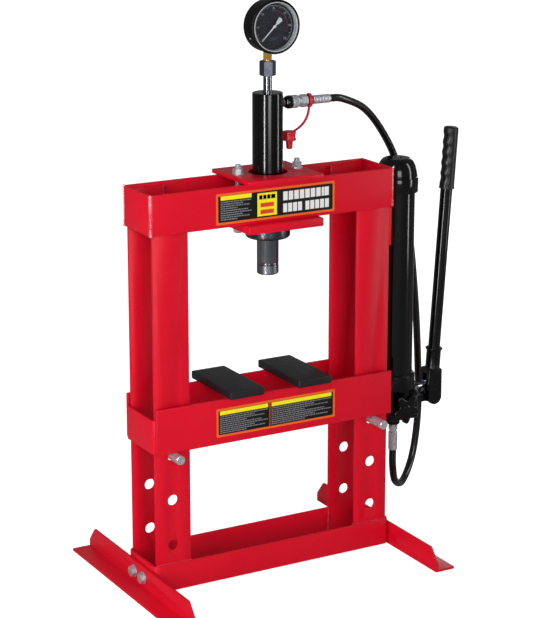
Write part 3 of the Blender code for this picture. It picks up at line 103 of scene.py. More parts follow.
def add_node(
    tree: bpy.types.NodeTree,
    kind: str,
    settings: Optional[dict] = None,
    links: Optional[dict] = None,
) -> bpy.types.Node:
    """Add a node with its settings and its incoming links.

    Args:
        tree: The node tree it goes in.
        kind: The node's type name.
        settings: A node attribute or an input socket (name or number) to its value.
        links: An input socket (name or number) to (node, output name or number).

    Returns:
        The new node.
    """
    node = tree.nodes.new(kind)
    for key, value in (settings or {}).items():
        if isinstance(key, str) and hasattr(node, key):
            setattr(node, key, value)
        else:
            node.inputs[key].default_value = value
    for key, (source, output) in (links or {}).items():
        tree.links.new(source.outputs[output], node.inputs[key])
    return node


def start_material(name: str, **sockets: Any) -> tuple[bpy.types.Material, bpy.types.Node]:
    """Make a material with a Principled shader.

    Args:
        name: The material's name.
        **sockets: Principled inputs by name, with underscores for spaces.

    Returns:
        The material and its Principled node.
    """
    material = bpy.data.materials.new(name)
    material.use_nodes = True
    shader = material.node_tree.nodes["Principled BSDF"]
    for key, value in sockets.items():
        shader.inputs[key.replace("_", " ")].default_value = value
    return material, shader


def ramp(tree: bpy.types.NodeTree, source: bpy.types.Node, output: Any, stops: Sequence) -> bpy.types.Node:
    """Map a value to colours.

    Args:
        tree: The node tree.
        source: The node that gives the value.
        output: Its output.
        stops: (position, linear colour) pairs, in order.

    Returns:
        The colour ramp node.
    """
    node = add_node(tree, "ShaderNodeValToRGB", links={"Fac": (source, output)})
    elements = node.color_ramp.elements
    while len(elements) < len(stops):
        elements.new(0.5)
    for element, (position, colour) in zip(elements, stops):
        element.position = position
        element.color = colour
    return node


def dressed(
    material: bpy.types.Material,
    shader: bpy.types.Node,
    tint: bpy.types.Node,
    rough: Optional[bpy.types.Node] = None,
    bump: Optional[bpy.types.Node] = None,
) -> bpy.types.Material:
    """Link colour, roughness and bump to a shader.

    Args:
        material: The material.
        shader: Its Principled node.
        tint: The node that gives the colour.
        rough: The node that gives the roughness.
        bump: The node that gives the bump.

    Returns:
        The material.
    """
    ends = ((tint, "Color", "Base Color"), (rough, "Result", "Roughness"), (bump, "Normal", "Normal"))
    for node, output, socket in ends:
        if node:
            material.node_tree.links.new(node.outputs[output], shader.inputs[socket])
    return material


def grey(value: float) -> tuple[float, float, float, float]:
    """Give a grey.

    Args:
        value: Its linear value.

    Returns:
        The colour with full alpha.
    """
    return (value, value, value, 1.0)


@dataclass(frozen=True)
class SprayedEnamel:
    """Sprayed and baked enamel: glossy, with orange peel and slightly uneven cover.

    Attributes:
        name: The material's name.
        colour: Main colour, sRGB hex.
        thin_cover_and_glint: Second colour, mixed in by noise: where the cover is thinner on most finishes,
            and on the corner weld a near-white painted highlight standing for glints.
        roughness: Middle roughness.
        specular: Specular level.
        peel_mm: Width of one dimple of the orange peel.
        peel_depth: Strength of the dimples.
    """

    name: str
    colour: str
    thin_cover_and_glint: str
    roughness: float = 0.28
    specular: float = 0.35
    peel_mm: float = 3.0
    peel_depth: float = 0.06

    def make(self) -> bpy.types.Material:
        """Build the material.

        Returns:
            The material.
        """
        material, shader = start_material(self.name, Specular_IOR_Level=self.specular)
        tree = material.node_tree
        here = {"Vector": (add_node(tree, "ShaderNodeTexCoord"), "Object")}
        cloud = add_node(tree, "ShaderNodeTexNoise", {"Scale": 9.0, "Detail": 3.0}, here)
        # Noise mixes the second colour into the main one; on the corner weld finish this paints near-white
        # highlight patches for glints.
        tint = ramp(tree, cloud, "Fac", [(0.35, linear(self.thin_cover_and_glint)), (0.62, linear(self.colour))])
        peel = add_node(tree, "ShaderNodeTexNoise", {"Scale": 1000 / self.peel_mm, "Detail": 1.5}, here)
        smear = add_node(tree, "ShaderNodeTexNoise", {"Scale": 45.0, "Detail": 4.0, "Roughness": 0.6}, here)
        low, high = self.roughness * 0.8, min(1.0, self.roughness * 1.3)
        rough = add_node(tree, "ShaderNodeMapRange", {"To Min": low, "To Max": high},
                         {"Value": (smear, "Fac")})
        bump = add_node(tree, "ShaderNodeBump", {"Strength": self.peel_depth, "Distance": 0.0004},
                        {"Height": (peel, "Fac")})
        return dressed(material, shader, tint, rough, bump)


@dataclass(frozen=True)
class PlatedSteel:
    """Zinc-plated or bare steel: metallic, with passivation bloom and drawn grain.

    Attributes:
        name: The material's name.
        colour: Main colour, sRGB hex.
        bloom: Colour of the dull blotches.
        roughness: Middle roughness.
        bloom_mm: Width of a blotch.
        grain_mm: Spacing of the drawn or turned grain.
        grain: Which way the grain repeats: "X", "Y" or "Z".
        grain_depth: Strength of the grain.
        metallic: 1 for bare metal, less where a chalky film scatters the light.
    """

    name: str
    colour: str
    bloom: str
    roughness: float = 0.32
    bloom_mm: float = 7.0
    grain_mm: float = 0.7
    grain: str = "Z"
    grain_depth: float = 0.05
    metallic: float = 1.0

    def make(self) -> bpy.types.Material:
        """Build the material.

        Returns:
            The material.
        """
        material, shader = start_material(self.name, Metallic=self.metallic)
        tree = material.node_tree
        here = {"Vector": (add_node(tree, "ShaderNodeTexCoord"), "Object")}
        blotch = add_node(tree, "ShaderNodeTexNoise",
                          {"Scale": 1000 / self.bloom_mm, "Detail": 4.0, "Roughness": 0.65}, here)
        tint = ramp(tree, blotch, "Fac", [(0.40, linear(self.bloom)), (0.58, linear(self.colour))])
        rough = add_node(tree, "ShaderNodeMapRange",
                         {"From Min": 0.35, "From Max": 0.65, "To Min": self.roughness * 1.35,
                          "To Max": self.roughness * 0.8}, {"Value": (blotch, "Fac")})
        stretch = {"X": (1, 0.04, 0.04), "Y": (0.04, 1, 0.04), "Z": (0.04, 0.04, 1)}[self.grain]
        turn = add_node(tree, "ShaderNodeMapping", {"Scale": stretch}, here)
        grain = add_node(tree, "ShaderNodeTexNoise", {"Scale": 1000 / self.grain_mm, "Detail": 2.0},
                         {"Vector": (turn, "Vector")})
        bump = add_node(tree, "ShaderNodeBump", {"Strength": self.grain_depth, "Distance": 0.0003},
                        {"Height": (grain, "Fac")})
        return dressed(material, shader, tint, rough, bump)


@dataclass(frozen=True)
class MouldedRubber:
    """Moulded rubber or soft plastic: satin, with a fine pebbled skin and a dusty bloom.

    Attributes:
        name: The material's name.
        colour: Main colour, sRGB hex.
        dust: Colour of the bloom.
        roughness: Roughness.
        specular: Specular level.
        pebble_mm: Width of a pebble of the skin.
        pebble_depth: Strength of the skin.
    """

    name: str
    colour: str
    dust: str
    roughness: float = 0.42
    specular: float = 0.4
    pebble_mm: float = 0.9
    pebble_depth: float = 0.12

    def make(self) -> bpy.types.Material:
        """Build the material.

        Returns:
            The material.
        """
        material, shader = start_material(self.name, Specular_IOR_Level=self.specular)
        tree = material.node_tree
        here = {"Vector": (add_node(tree, "ShaderNodeTexCoord"), "Object")}
        cloud = add_node(tree, "ShaderNodeTexNoise", {"Scale": 60.0, "Detail": 4.0}, here)
        tint = ramp(tree, cloud, "Fac", [(0.45, linear(self.colour)), (0.75, linear(self.dust))])
        pebble = add_node(tree, "ShaderNodeTexVoronoi", {"Scale": 1000 / self.pebble_mm}, here)
        rough = add_node(tree, "ShaderNodeMapRange",
                         {"To Min": self.roughness * 0.85, "To Max": self.roughness * 1.25},
                         {"Value": (cloud, "Fac")})
        bump = add_node(tree, "ShaderNodeBump", {"Strength": self.pebble_depth, "Distance": 0.0002},
                        {"Height": (pebble, "Distance")})
        return dressed(material, shader, tint, rough, bump)


@dataclass(frozen=True)
class PrintedFilm:
    """Ink on vinyl film or on a dial: even colour under a thin gloss, with a faint print grain.

    Attributes:
        name: The material's name.
        colour: Ink colour, sRGB hex.
        worn: Colour where the ink is thinner.
        roughness: Roughness.
    """

    name: str
    colour: str
    worn: str
    roughness: float = 0.35

    def make(self) -> bpy.types.Material:
        """Build the material.

        Returns:
            The material.
        """
        material, shader = start_material(self.name, Specular_IOR_Level=0.35)
        tree = material.node_tree
        here = {"Vector": (add_node(tree, "ShaderNodeTexCoord"), "Object")}
        speck = add_node(tree, "ShaderNodeTexNoise", {"Scale": 900.0, "Detail": 2.0}, here)
        tint = ramp(tree, speck, "Fac", [(0.30, linear(self.worn)), (0.50, linear(self.colour))])
        rough = add_node(tree, "ShaderNodeMapRange",
                         {"To Min": self.roughness * 0.8, "To Max": self.roughness * 1.2},
                         {"Value": (speck, "Fac")})
        return dressed(material, shader, tint, rough)


@dataclass(frozen=True)
class GaugeGlass:
    """A flat pane of clear glass, seen through and faintly reflecting.

    Attributes:
        name: The material's name.
        share: How much of the pane's own surface shows.
    """

    name: str
    share: float = 0.10

    def make(self) -> bpy.types.Material:
        """Build the material.

        Returns:
            The material.
        """
        material, shader = start_material(self.name, Roughness=0.04, Alpha=self.share, IOR=1.5)
        tree = material.node_tree
        here = {"Vector": (add_node(tree, "ShaderNodeTexCoord"), "Object")}
        haze = add_node(tree, "ShaderNodeTexNoise", {"Scale": 30.0, "Detail": 3.0}, here)
        tint = ramp(tree, haze, "Fac", [(0.4, grey(0.02)), (0.7, grey(0.05))])
        return dressed(material, shader, tint)


FINISHES = (
    # Sprayed and baked signal-red enamel: deep crimson that goes pink where it catches the light.
    SprayedEnamel("signal_red_enamel", "dc0b28", "d60925", roughness=0.34, specular=0.15),
    # Weld bead under the same enamel: the ripples throw bright glints, and its near-white second colour is
    # painted highlight, pale patches that stand for those glints.
    SprayedEnamel("enamelled_weld_painted_glint", "e0283c", "fcd4d6", roughness=0.14, specular=0.9, peel_mm=2.0,
                  peel_depth=0.3),
    # Small fillet welds: the same enamel, redder, with no near-white painted highlight.
    SprayedEnamel("enamelled_fillet", "c81830", "d83c50", roughness=0.26, specular=0.4, peel_mm=1.4,
                  peel_depth=0.3),
    # Gloss black enamel on the drawn tubes: near black with long clean streaks of light.
    SprayedEnamel("gloss_black_enamel", "040405", "030304", roughness=0.13, specular=0.40, peel_mm=5.0,
                  peel_depth=0.015),
    # Black enamel over a sand casting: the same black over a coarse skin that breaks up the light.
    SprayedEnamel("cast_black_enamel", "060607", "040405", roughness=0.22, specular=0.30, peel_mm=2.6,
                  peel_depth=0.30),
    # Satin black enamel of the gauge's case.
    SprayedEnamel("satin_black_enamel", "060607", "050506", roughness=0.36, specular=0.12, peel_mm=1.5,
                  peel_depth=0.03),
    # Black oxide on flame-cut plate: charcoal, dull, a little mottled.
    SprayedEnamel("black_oxide_plate", "1c1c20", "17171a", roughness=0.44, specular=0.30, peel_mm=2.2,
                  peel_depth=0.25),
    # Bright zinc plate on turned pins, studs and fittings: grey-white with a dull bloom.
    PlatedSteel("bright_zinc", "d0d1d6", "a8a9b0", roughness=0.38, bloom_mm=4.0, metallic=0.6),
    # Hard chrome on the ram and plunger: a dark mirror with clean vertical streaks.
    PlatedSteel("hard_chrome", "8a8c92", "808288", roughness=0.12, bloom_mm=30.0, grain_mm=1.2,
                grain_depth=0.01),
    # Ground tool steel of the ram's end cap: greyer, with fine turning lines.
    PlatedSteel("ground_tool_steel", "8e9096", "7c7e84", roughness=0.30, bloom_mm=9.0, grain_mm=0.8,
                grain_depth=0.10),
    # Blued steel of the lock ring: dark grey that still catches streaks of light.
    PlatedSteel("blued_tool_steel", "5c5e64", "4c4e54", roughness=0.26, bloom_mm=9.0, grain_mm=0.8,
                grain_depth=0.08),
    # Chemically blackened steel nut: cool dark grey.
    PlatedSteel("blackened_nut_steel", "62656f", "565963", roughness=0.40, bloom_mm=5.0),
    # Turned brass of the gauge's stem: warm yellow, a little tarnished.
    PlatedSteel("turned_brass", "e8b860", "cc9a44", roughness=0.24, bloom_mm=6.0, metallic=0.7),
    # Bezel ring and glass packing: a pale matt grey line round the dial.
    PrintedFilm("pale_bezel_ring", "b4b6ba", "a8aaae", roughness=0.45),
    # Hydraulic hose cover: smooth black rubber with one soft streak.
    MouldedRubber("hose_rubber", "060607", "0a0a0b", roughness=0.24, specular=0.6, pebble_depth=0.01),
    # Moulded hand grip: duller black.
    MouldedRubber("grip_rubber", "0a0a0c", "121214", roughness=0.36, specular=0.4, pebble_mm=1.1),
    # Soft PVC dust cap: bright red with a soft sheen.
    MouldedRubber("red_dust_cap_pvc", "d4142c", "da2036", roughness=0.36, specular=0.35, pebble_depth=0.05),
    # Vinyl sticker inks: solid print under a thin clear film.
    PrintedFilm("sticker_black_ink", "08080a", "0c0c0e"),
    PrintedFilm("sticker_orange_ink", "f4681c", "ee6018"),
    PrintedFilm("sticker_yellow_ink", "fdf01c", "f4e414"),
    PrintedFilm("sticker_white_ink", "f2f2f2", "e2e2e2"),
    PrintedFilm("sticker_grey_ink", "8a8a8e", "707074"),
    PrintedFilm("sticker_red_ink", "e4481c", "d83c14"),
    # Dial inks: matt print on the dial plate.
    PrintedFilm("dial_ink_navy", "1c2130", "181d2a", roughness=0.55),
    PrintedFilm("dial_ink_pale", "b4bac6", "a4aab6", roughness=0.5),
    PrintedFilm("dial_ink_red", "b04450", "a04048", roughness=0.5),
    PrintedFilm("dial_ink_blue", "2a5c8c", "26547e", roughness=0.5),
    # White enamel of the needle.
    PrintedFilm("needle_white_enamel", "eef0f2", "dfe2e6", roughness=0.3),
    GaugeGlass("clear_gauge_glass"),
)
MATERIALS = {finish.name: finish.make() for finish in FINISHES}


# --- Meshes ---
def world(x: float, y: float, z: float) -> Vector:
    """Turn a point of the press's own frame into one of the row frame.

    Args:
        x: Distance to the right of the press's middle.
        y: Distance behind it.
        z: Height.

    Returns:
        The point in the row frame.
    """
    return Vector((x + MIDDLE_X, y, z))


def placed(at: Vector, facing: Facing = Facing.UP, spin: float = 0.0, tilt: float = 0.0) -> Matrix:
    """Where a piece made round its own +Z goes.

    Args:
        at: The place of its origin.
        facing: The way its +Z points.
        spin: A turn about its own +Z first, in radians.
        tilt: A lean towards +X afterwards, in radians.

    Returns:
        The placing matrix.
    """
    x, y, z = facing.value
    turn = Matrix.Rotation(z, 4, "Z") @ Matrix.Rotation(y, 4, "Y") @ Matrix.Rotation(x, 4, "X")
    return Matrix.Translation(at) @ Matrix.Rotation(tilt, 4, "Y") @ turn @ Matrix.Rotation(spin, 4, "Z")


def piece(name: str, bm: bmesh.types.BMesh, finishes: Sequence[str],
          smooth: float = 35.0) -> bpy.types.Object:
    """Turn a bmesh into an object at the origin.

    Args:
        name: The object's name.
        bm: The mesh, in the row frame; it is freed.
        finishes: The names of its finishes, in slot order.
        smooth: Edges sharper than this many degrees stay crisp.

    Returns:
        The object.
    """
    bmesh.ops.remove_doubles(bm, verts=bm.verts, dist=2e-6)
    bmesh.ops.recalc_face_normals(bm, faces=bm.faces)
    mesh = bpy.data.meshes.new(name)
    bm.to_mesh(mesh)
    bm.free()
    mesh.shade_smooth()
    mesh.set_sharp_from_angle(angle=math.radians(smooth))
    obj = bpy.data.objects.new(name, mesh)
    bpy.context.scene.collection.objects.link(obj)
    for finish in finishes:
        mesh.materials.append(MATERIALS[finish])
    return obj


def settled(obj: bpy.types.Object, smooth: float = 35.0) -> bpy.types.Object:
    """Make an object's modifiers part of its mesh.

    Args:
        obj: The object.
        smooth: Edges sharper than this many degrees stay crisp.

    Returns:
        The same object.
    """
    graph = bpy.context.evaluated_depsgraph_get()
    mesh = bpy.data.meshes.new_from_object(obj.evaluated_get(graph))
    obj.modifiers.clear()
    obj.data = mesh
    mesh.shade_smooth()
    mesh.set_sharp_from_angle(angle=math.radians(smooth))
    return obj


def softened(obj: bpy.types.Object, width: float, segments: int = 2, angle: float = 40.0) -> bpy.types.Object:
    """Round an object's sharp edges and make the rounding part of its mesh.

    Args:
        obj: The object.
        width: The rounding's width in metres.
        segments: Steps across the rounding.
        angle: Only edges sharper than this are rounded.

    Returns:
        The same object.
    """
    mod = obj.modifiers.new("edges", "BEVEL")
    mod.width = width
    mod.segments = segments
    mod.limit_method = "ANGLE"
    mod.angle_limit = math.radians(angle)
    mod.use_clamp_overlap = True
    mod.harden_normals = False
    return settled(obj, 50.0)


def cad_skin(node: str, name: str, finish: str, width: float, segments: int = 2) -> bpy.types.Object:
    """A merged copy of a CAD node with rounded edges, which stands for it.

    Args:
        node: The CAD node.
        name: The new piece's name.
        finish: Its finish.
        width: The width of its rounded edges.
        segments: Steps across the rounding.

    Returns:
        The new piece.
    """
    bm = bmesh.new()
    bm.from_mesh(frame["nodes"][node].data)
    bmesh.ops.remove_doubles(bm, verts=bm.verts, dist=1e-6)
    bmesh.ops.dissolve_limit(bm, angle_limit=math.radians(0.5), verts=bm.verts, edges=bm.edges)
    obj = piece(name, bm, [finish])
    softened(obj, width, segments)
    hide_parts(node)
    return obj


def rounded(profile: Sequence[Point2], radius: float, steps: int = 3, closed: bool = True) -> list[Point2]:
    """Round every corner of an outline.

    Args:
        profile: The outline's points.
        radius: The rounding, less where the neighbours are close.
        steps: Steps across each corner.
        closed: Whether the last point joins the first.

    Returns:
        The rounded outline.
    """
    count = len(profile)
    out: list[Point2] = []
    for i, corner in enumerate(profile):
        if not closed and i in (0, count - 1):
            out.append(corner)
            continue
        here = Vector(corner)
        before = Vector(profile[i - 1]) - here
        after = Vector(profile[(i + 1) % count]) - here
        if before.length < 1e-9 or after.length < 1e-9 or before.angle(after) > math.radians(165):
            out.append(corner)
            continue
        reach = min(radius, before.length * 0.45, after.length * 0.45)
        a, b = here + before.normalized() * reach, here + after.normalized() * reach
        for step in range(steps + 1):
            t = step / steps
            out.append(tuple(a * (1 - t) ** 2 + here * 2 * t * (1 - t) + b * t * t))
    return out


def lathe(bm: bmesh.types.BMesh, profile: Sequence[Point2], place: Matrix, sides: int = 64,
          slot: int = 0) -> None:
    """Add a turned shape to a mesh.

    Args:
        bm: The mesh.
        profile: (radius, height) points of a closed section; points on the axis close it there.
        place: Where its own origin and +Z go.
        sides: Steps round.
        slot: The material slot of its faces.
    """
    rings = []
    for radius, height in profile:
        if radius < 1e-7:
            rings.append([bm.verts.new(place @ Vector((0, 0, height)))])
            continue
        ring = []
        for i in range(sides):
            a = 2 * math.pi * i / sides
            ring.append(bm.verts.new(place @ Vector((radius * math.cos(a), radius * math.sin(a), height))))
        rings.append(ring)
    for one, two in zip(rings, rings[1:] + rings[:1]):
        if len(one) == len(two) == 1:
            continue
        for i in range(sides):
            j = (i + 1) % sides
            corners = [one[i % len(one)], two[i % len(two)], two[j % len(two)], one[j % len(one)]]
            unique = list(dict.fromkeys(corners))
            if len(unique) > 2:
                bm.faces.new(unique).material_index = slot


def disc_profile(radius: float, low: float, high: float, edge: float = 0.0006) -> list[Point2]:
    """The section of a plain round bar with rounded ends.

    Args:
        radius: The bar's radius.
        low: Its lower end.
        high: Its upper end.
        edge: The rounding of both ends.

    Returns:
        (radius, height) points from the lower end's middle to the upper end's.
    """
    return rounded([(0.0, low), (radius, low), (radius, high), (0.0, high)], edge, 3, closed=False)


def washer_profile(bore: float, rim: float, low: float, high: float) -> list[Point2]:
    """The section of a washer with broken edges.

    Args:
        bore: The hole's radius.
        rim: The outer radius.
        low: Its lower face.
        high: Its upper face.

    Returns:
        Closed (radius, height) points.
    """
    return rounded([(bore, low), (rim, low), (rim, high), (bore, high)], 0.0003)


def prism(bm: bmesh.types.BMesh, outline: Sequence[Point2], low: float, high: float, place: Matrix,
          slot: int = 0) -> None:
    """Add a straight-sided shape to a mesh.

    Args:
        bm: The mesh.
        outline: Its outline in its own XY plane.
        low: Its lower end along its own Z.
        high: Its upper end.
        place: Where its own origin and axes go.
        slot: The material slot of its faces.
    """
    bottom = [bm.verts.new(place @ Vector((x, y, low))) for x, y in outline]
    top = [bm.verts.new(place @ Vector((x, y, high))) for x, y in outline]
    faces = [bm.faces.new(bottom), bm.faces.new(top)]
    for i in range(len(outline)):
        j = (i + 1) % len(outline)
        faces.append(bm.faces.new((bottom[i], bottom[j], top[j], top[i])))
    for face in faces:
        face.material_index = slot


def hex_nut(bm: bmesh.types.BMesh, flats: float, height: float, place: Matrix, slot: int = 0) -> None:
    """Add a hexagonal nut whose corners are turned down at both ends.

    Args:
        bm: The mesh.
        flats: Width across flats.
        height: Its height along its own +Z.
        place: Where it goes.
        slot: The material slot of its faces.
    """
    corner = flats / math.sqrt(3)
    drop = (corner - flats / 2) * 0.55
    rings = []
    end_radius = flats / 2 * 0.985
    for z, reach in ((0.0, end_radius), (drop, None), (height - drop, None), (height, end_radius)):
        ring = []
        for i in range(24):
            a = 2 * math.pi * i / 24
            local = (a + math.pi / 6) % (math.pi / 3) - math.pi / 6
            flat_reach = flats / 2 / math.cos(local)
            radius = reach if reach is not None else flat_reach
            if reach is None:
                lift = (flat_reach - flats / 2) / (corner - flats / 2) * drop
                z_here = lift if z < height / 2 else height - lift
            else:
                z_here = z
            ring.append(bm.verts.new(place @ Vector((radius * math.cos(a), radius * math.sin(a), z_here))))
        rings.append(ring)
    faces = [bm.faces.new(rings[0]), bm.faces.new(rings[-1])]
    for one, two in zip(rings, rings[1:]):
        for i in range(24):
            j = (i + 1) % 24
            faces.append(bm.faces.new((one[i], one[j], two[j], two[i])))
    for face in faces:
        face.material_index = slot


def thread_profile(radius: float, low: float, high: float, pitch: float = 0.0014) -> list[Point2]:
    """The section of a threaded bar drawn as close rings.

    Args:
        radius: Outer radius.
        low: Lower end.
        high: Upper end.
        pitch: Distance from crest to crest.

    Returns:
        (radius, height) points from the lower end's middle to the upper end's.
    """
    root = radius - pitch * 0.45
    points = [(0.0, low), (root, low)]
    count = max(1, int((high - low) / pitch) - 1)
    step = (high - low) / (count + 1)
    for i in range(count):
        middle = low + step * (i + 1)
        points += [(radius, middle), (root, middle + step / 2)]
    return points + [(root, high), (0.0, high)]


def block(bm: bmesh.types.BMesh, low: Vector, high: Vector) -> None:
    """Add a box to a mesh.

    Args:
        bm: The mesh.
        low: The box's lowest corner.
        high: Its highest corner.
    """
    outline = [(low.x, low.y), (high.x, low.y), (high.x, high.y), (low.x, high.y)]
    prism(bm, outline, low.z, high.z, Matrix.Identity(4))


def oval(half_wide: float, half_tall: float, steps: int = 16) -> list[Point2]:
    """An oval outline, round when both halves are equal.

    Args:
        half_wide: Half its width.
        half_tall: Half its height.
        steps: Points round it.

    Returns:
        Its points.
    """
    turns = (2 * math.pi * i / steps for i in range(steps))
    return [(half_wide * math.cos(a), half_tall * math.sin(a)) for a in turns]


def tube(bm: bmesh.types.BMesh, path: Sequence[Vector], section: Sequence[Point2], side: Vector) -> None:
    """Add a bar of one section swept along a path, with closed ends.

    Args:
        bm: The mesh.
        path: The path's points.
        section: The section's outline, across `side` and the direction square to it.
        side: The direction that stays across the path.
    """
    rings = []
    for i, here in enumerate(path):
        along = (path[min(i + 1, len(path) - 1)] - path[max(i - 1, 0)]).normalized()
        across = (side - along * side.dot(along)).normalized()
        over = along.cross(across)
        rings.append([bm.verts.new(here + across * u + over * v) for u, v in section])
    bm.faces.new(rings[0])
    bm.faces.new(rings[-1])
    for one, two in zip(rings, rings[1:]):
        for i in range(len(section)):
            j = (i + 1) % len(section)
            bm.faces.new((one[i], one[j], two[j], two[i]))


def drilled_plate(name: str, loops: Sequence[Sequence[Vector]], thickness: Vector,
                  edge: float) -> bpy.types.Object:
    """A red plate with holes through it.

    Args:
        name: The plate's name.
        loops: Its outline and its holes' outlines, all in one plane.
        thickness: The way and the distance to its other face.
        edge: The rounding of its edges.

    Returns:
        The plate.
    """
    bm = bmesh.new()
    edges = []
    for loop in loops:
        verts = [bm.verts.new(point) for point in loop]
        edges += [bm.edges.new((a, b)) for a, b in zip(verts, verts[1:] + verts[:1])]
    bmesh.ops.triangle_fill(bm, use_beauty=True, use_dissolve=False, edges=edges)
    made = bmesh.ops.extrude_face_region(bm, geom=bm.faces[:])
    moved = [g for g in made["geom"] if isinstance(g, bmesh.types.BMVert)]
    bmesh.ops.translate(bm, verts=moved, vec=thickness)
    bmesh.ops.recalc_face_normals(bm, faces=bm.faces)
    bmesh.ops.dissolve_limit(bm, angle_limit=math.radians(0.5), verts=bm.verts, edges=bm.edges)
    return softened(piece(name, bm, ["signal_red_enamel"]), edge, 2, 60.0)


# --- Geometry Nodes ---
class PatternTree:
    """A Geometry Nodes tree with named inputs, built once and run to a plain mesh."""

    def __init__(self, name: str, inputs: dict[str, tuple[str, Any]]) -> None:
        """Start the tree.

        Args:
            name: The tree's name.
            inputs: Input name to (socket type, default value).
        """
        self.tree = bpy.data.node_groups.new(name, "GeometryNodeTree")
        self.ids: dict[str, str] = {}
        self.tree.interface.new_socket("Geometry", in_out="INPUT", socket_type="NodeSocketGeometry")
        for label, (kind, value) in inputs.items():
            socket = self.tree.interface.new_socket(label, in_out="INPUT", socket_type=kind)
            if value is not None:
                socket.default_value = value
            self.ids[label] = socket.identifier
        self.tree.interface.new_socket("Geometry", in_out="OUTPUT", socket_type="NodeSocketGeometry")
        self.source = add_node(self.tree, "NodeGroupInput")

    def close(self, node: bpy.types.Node, output: Any = 0) -> None:
        """Realize the instances, give them the finish and end the tree.

        Args:
            node: The node that gives the instances.
            output: Its output.
        """
        real = add_node(self.tree, "GeometryNodeRealizeInstances", links={0: (node, output)})
        dressed = add_node(self.tree, "GeometryNodeSetMaterial",
                           links={"Geometry": (real, 0), "Material": (self.source, "Finish")})
        add_node(self.tree, "NodeGroupOutput", links={0: (dressed, 0)})

    def run(self, name: str, seed_mesh: bpy.types.Mesh, place: Matrix, **values: Any) -> bpy.types.Object:
        """Run the tree on a mesh.

        Args:
            name: The new object's name.
            seed_mesh: The mesh that the tree starts from.
            place: Where the result's own origin and axes go.
            **values: Input values by name, with underscores for spaces.

        Returns:
            A plain mesh object at the origin.
        """
        obj = bpy.data.objects.new(name, seed_mesh)
        bpy.context.scene.collection.objects.link(obj)
        mod = obj.modifiers.new("pattern", "NODES")
        mod.node_group = self.tree
        for label, value in values.items():
            mod[self.ids[label.replace("_", " ")]] = value
        obj.update_tag()
        graph = bpy.context.evaluated_depsgraph_get()
        mesh = bpy.data.meshes.new_from_object(obj.evaluated_get(graph))
        obj.modifiers.clear()
        obj.data = mesh
        mesh.transform(place)
        mesh.shade_smooth()
        mesh.set_sharp_from_angle(angle=math.radians(40))
        return obj


class RingOfBars(PatternTree):
    """Bars set round an arc: a dial's marks, or the teeth of a knurl."""

    def __init__(self) -> None:
        """Build the tree."""
        super().__init__("ring_of_bars", {
            "Count": ("NodeSocketInt", 12), "Radius": ("NodeSocketFloat", 0.01),
            "Start": ("NodeSocketFloat", 0.0), "Step": ("NodeSocketFloat", 0.1),
            "Bar": ("NodeSocketVector", (0.001, 0.001, 0.001)), "Tip": ("NodeSocketFloat", 0.0),
            "Finish": ("NodeSocketMaterial", None),
        })
        tree, given = self.tree, self.source
        line = add_node(tree, "GeometryNodeMeshLine", links={"Count": (given, "Count")})
        index = add_node(tree, "GeometryNodeInputIndex")
        turn = add_node(tree, "ShaderNodeMath", {"operation": "MULTIPLY_ADD"},
                        {0: (index, 0), 1: (given, "Step"), 2: (given, "Start")})
        cos = add_node(tree, "ShaderNodeMath", {"operation": "COSINE"}, {0: (turn, 0)})
        sin = add_node(tree, "ShaderNodeMath", {"operation": "SINE"}, {0: (turn, 0)})
        across, up = (add_node(tree, "ShaderNodeMath", {"operation": "MULTIPLY"},
                               {0: (share, 0), 1: (given, "Radius")}) for share in (cos, sin))
        spot = add_node(tree, "ShaderNodeCombineXYZ", links={"X": (across, 0), "Y": (up, 0)})
        moved = add_node(tree, "GeometryNodeSetPosition",
                         links={"Geometry": (line, 0), "Position": (spot, 0)})
        bar = add_node(tree, "GeometryNodeMeshCube", links={"Size": (given, "Bar")})
        angles = add_node(tree, "ShaderNodeCombineXYZ", links={"X": (given, "Tip"), "Z": (turn, 0)})
        copies = add_node(tree, "GeometryNodeInstanceOnPoints",
                          links={"Points": (moved, 0), "Instance": (bar, 0), "Rotation": (angles, 0)})
        self.close(copies)


class WeldBead(PatternTree):
    """Overlapping ripples of weld metal along the edges of a mesh."""

    def __init__(self) -> None:
        """Build the tree."""
        super().__init__("weld_bead", {
            "Spacing": ("NodeSocketFloat", 0.002), "Size": ("NodeSocketFloat", 0.002),
            "Uneven": ("NodeSocketFloat", 0.3), "Seed": ("NodeSocketInt", 7),
            "Finish": ("NodeSocketMaterial", None),
        })
        tree, given = self.tree, self.source
        curve = add_node(tree, "GeometryNodeMeshToCurve", links={"Mesh": (given, "Geometry")})
        points = add_node(tree, "GeometryNodeResampleCurve", {"mode": "LENGTH"},
                          {"Curve": (curve, 0), "Length": (given, "Spacing")})
        ball = add_node(tree, "GeometryNodeMeshIcoSphere", {"Subdivisions": 2}, {"Radius": (given, "Size")})
        least = add_node(tree, "ShaderNodeMath", {"operation": "SUBTRACT", 0: 1.0}, {1: (given, "Uneven")})
        most = add_node(tree, "ShaderNodeMath", {"operation": "ADD", 0: 1.0}, {1: (given, "Uneven")})
        size = add_node(tree, "FunctionNodeRandomValue", {"data_type": "FLOAT"},
                        {2: (least, 0), 3: (most, 0), "Seed": (given, "Seed")})
        copies = add_node(tree, "GeometryNodeInstanceOnPoints",
                          links={"Points": (points, 0), "Instance": (ball, 0), "Scale": (size, 1)})
        self.close(copies)


RING = RingOfBars()
BEAD = WeldBead()


def path_mesh(points: Iterable[Vector]) -> bpy.types.Mesh:
    """A mesh of one open line.

    Args:
        points: The line's points.

    Returns:
        The mesh.
    """
    spots = [tuple(p) for p in points]
    mesh = bpy.data.meshes.new("path")
    mesh.from_pydata(spots, [(i, i + 1) for i in range(len(spots) - 1)], [])
    return mesh


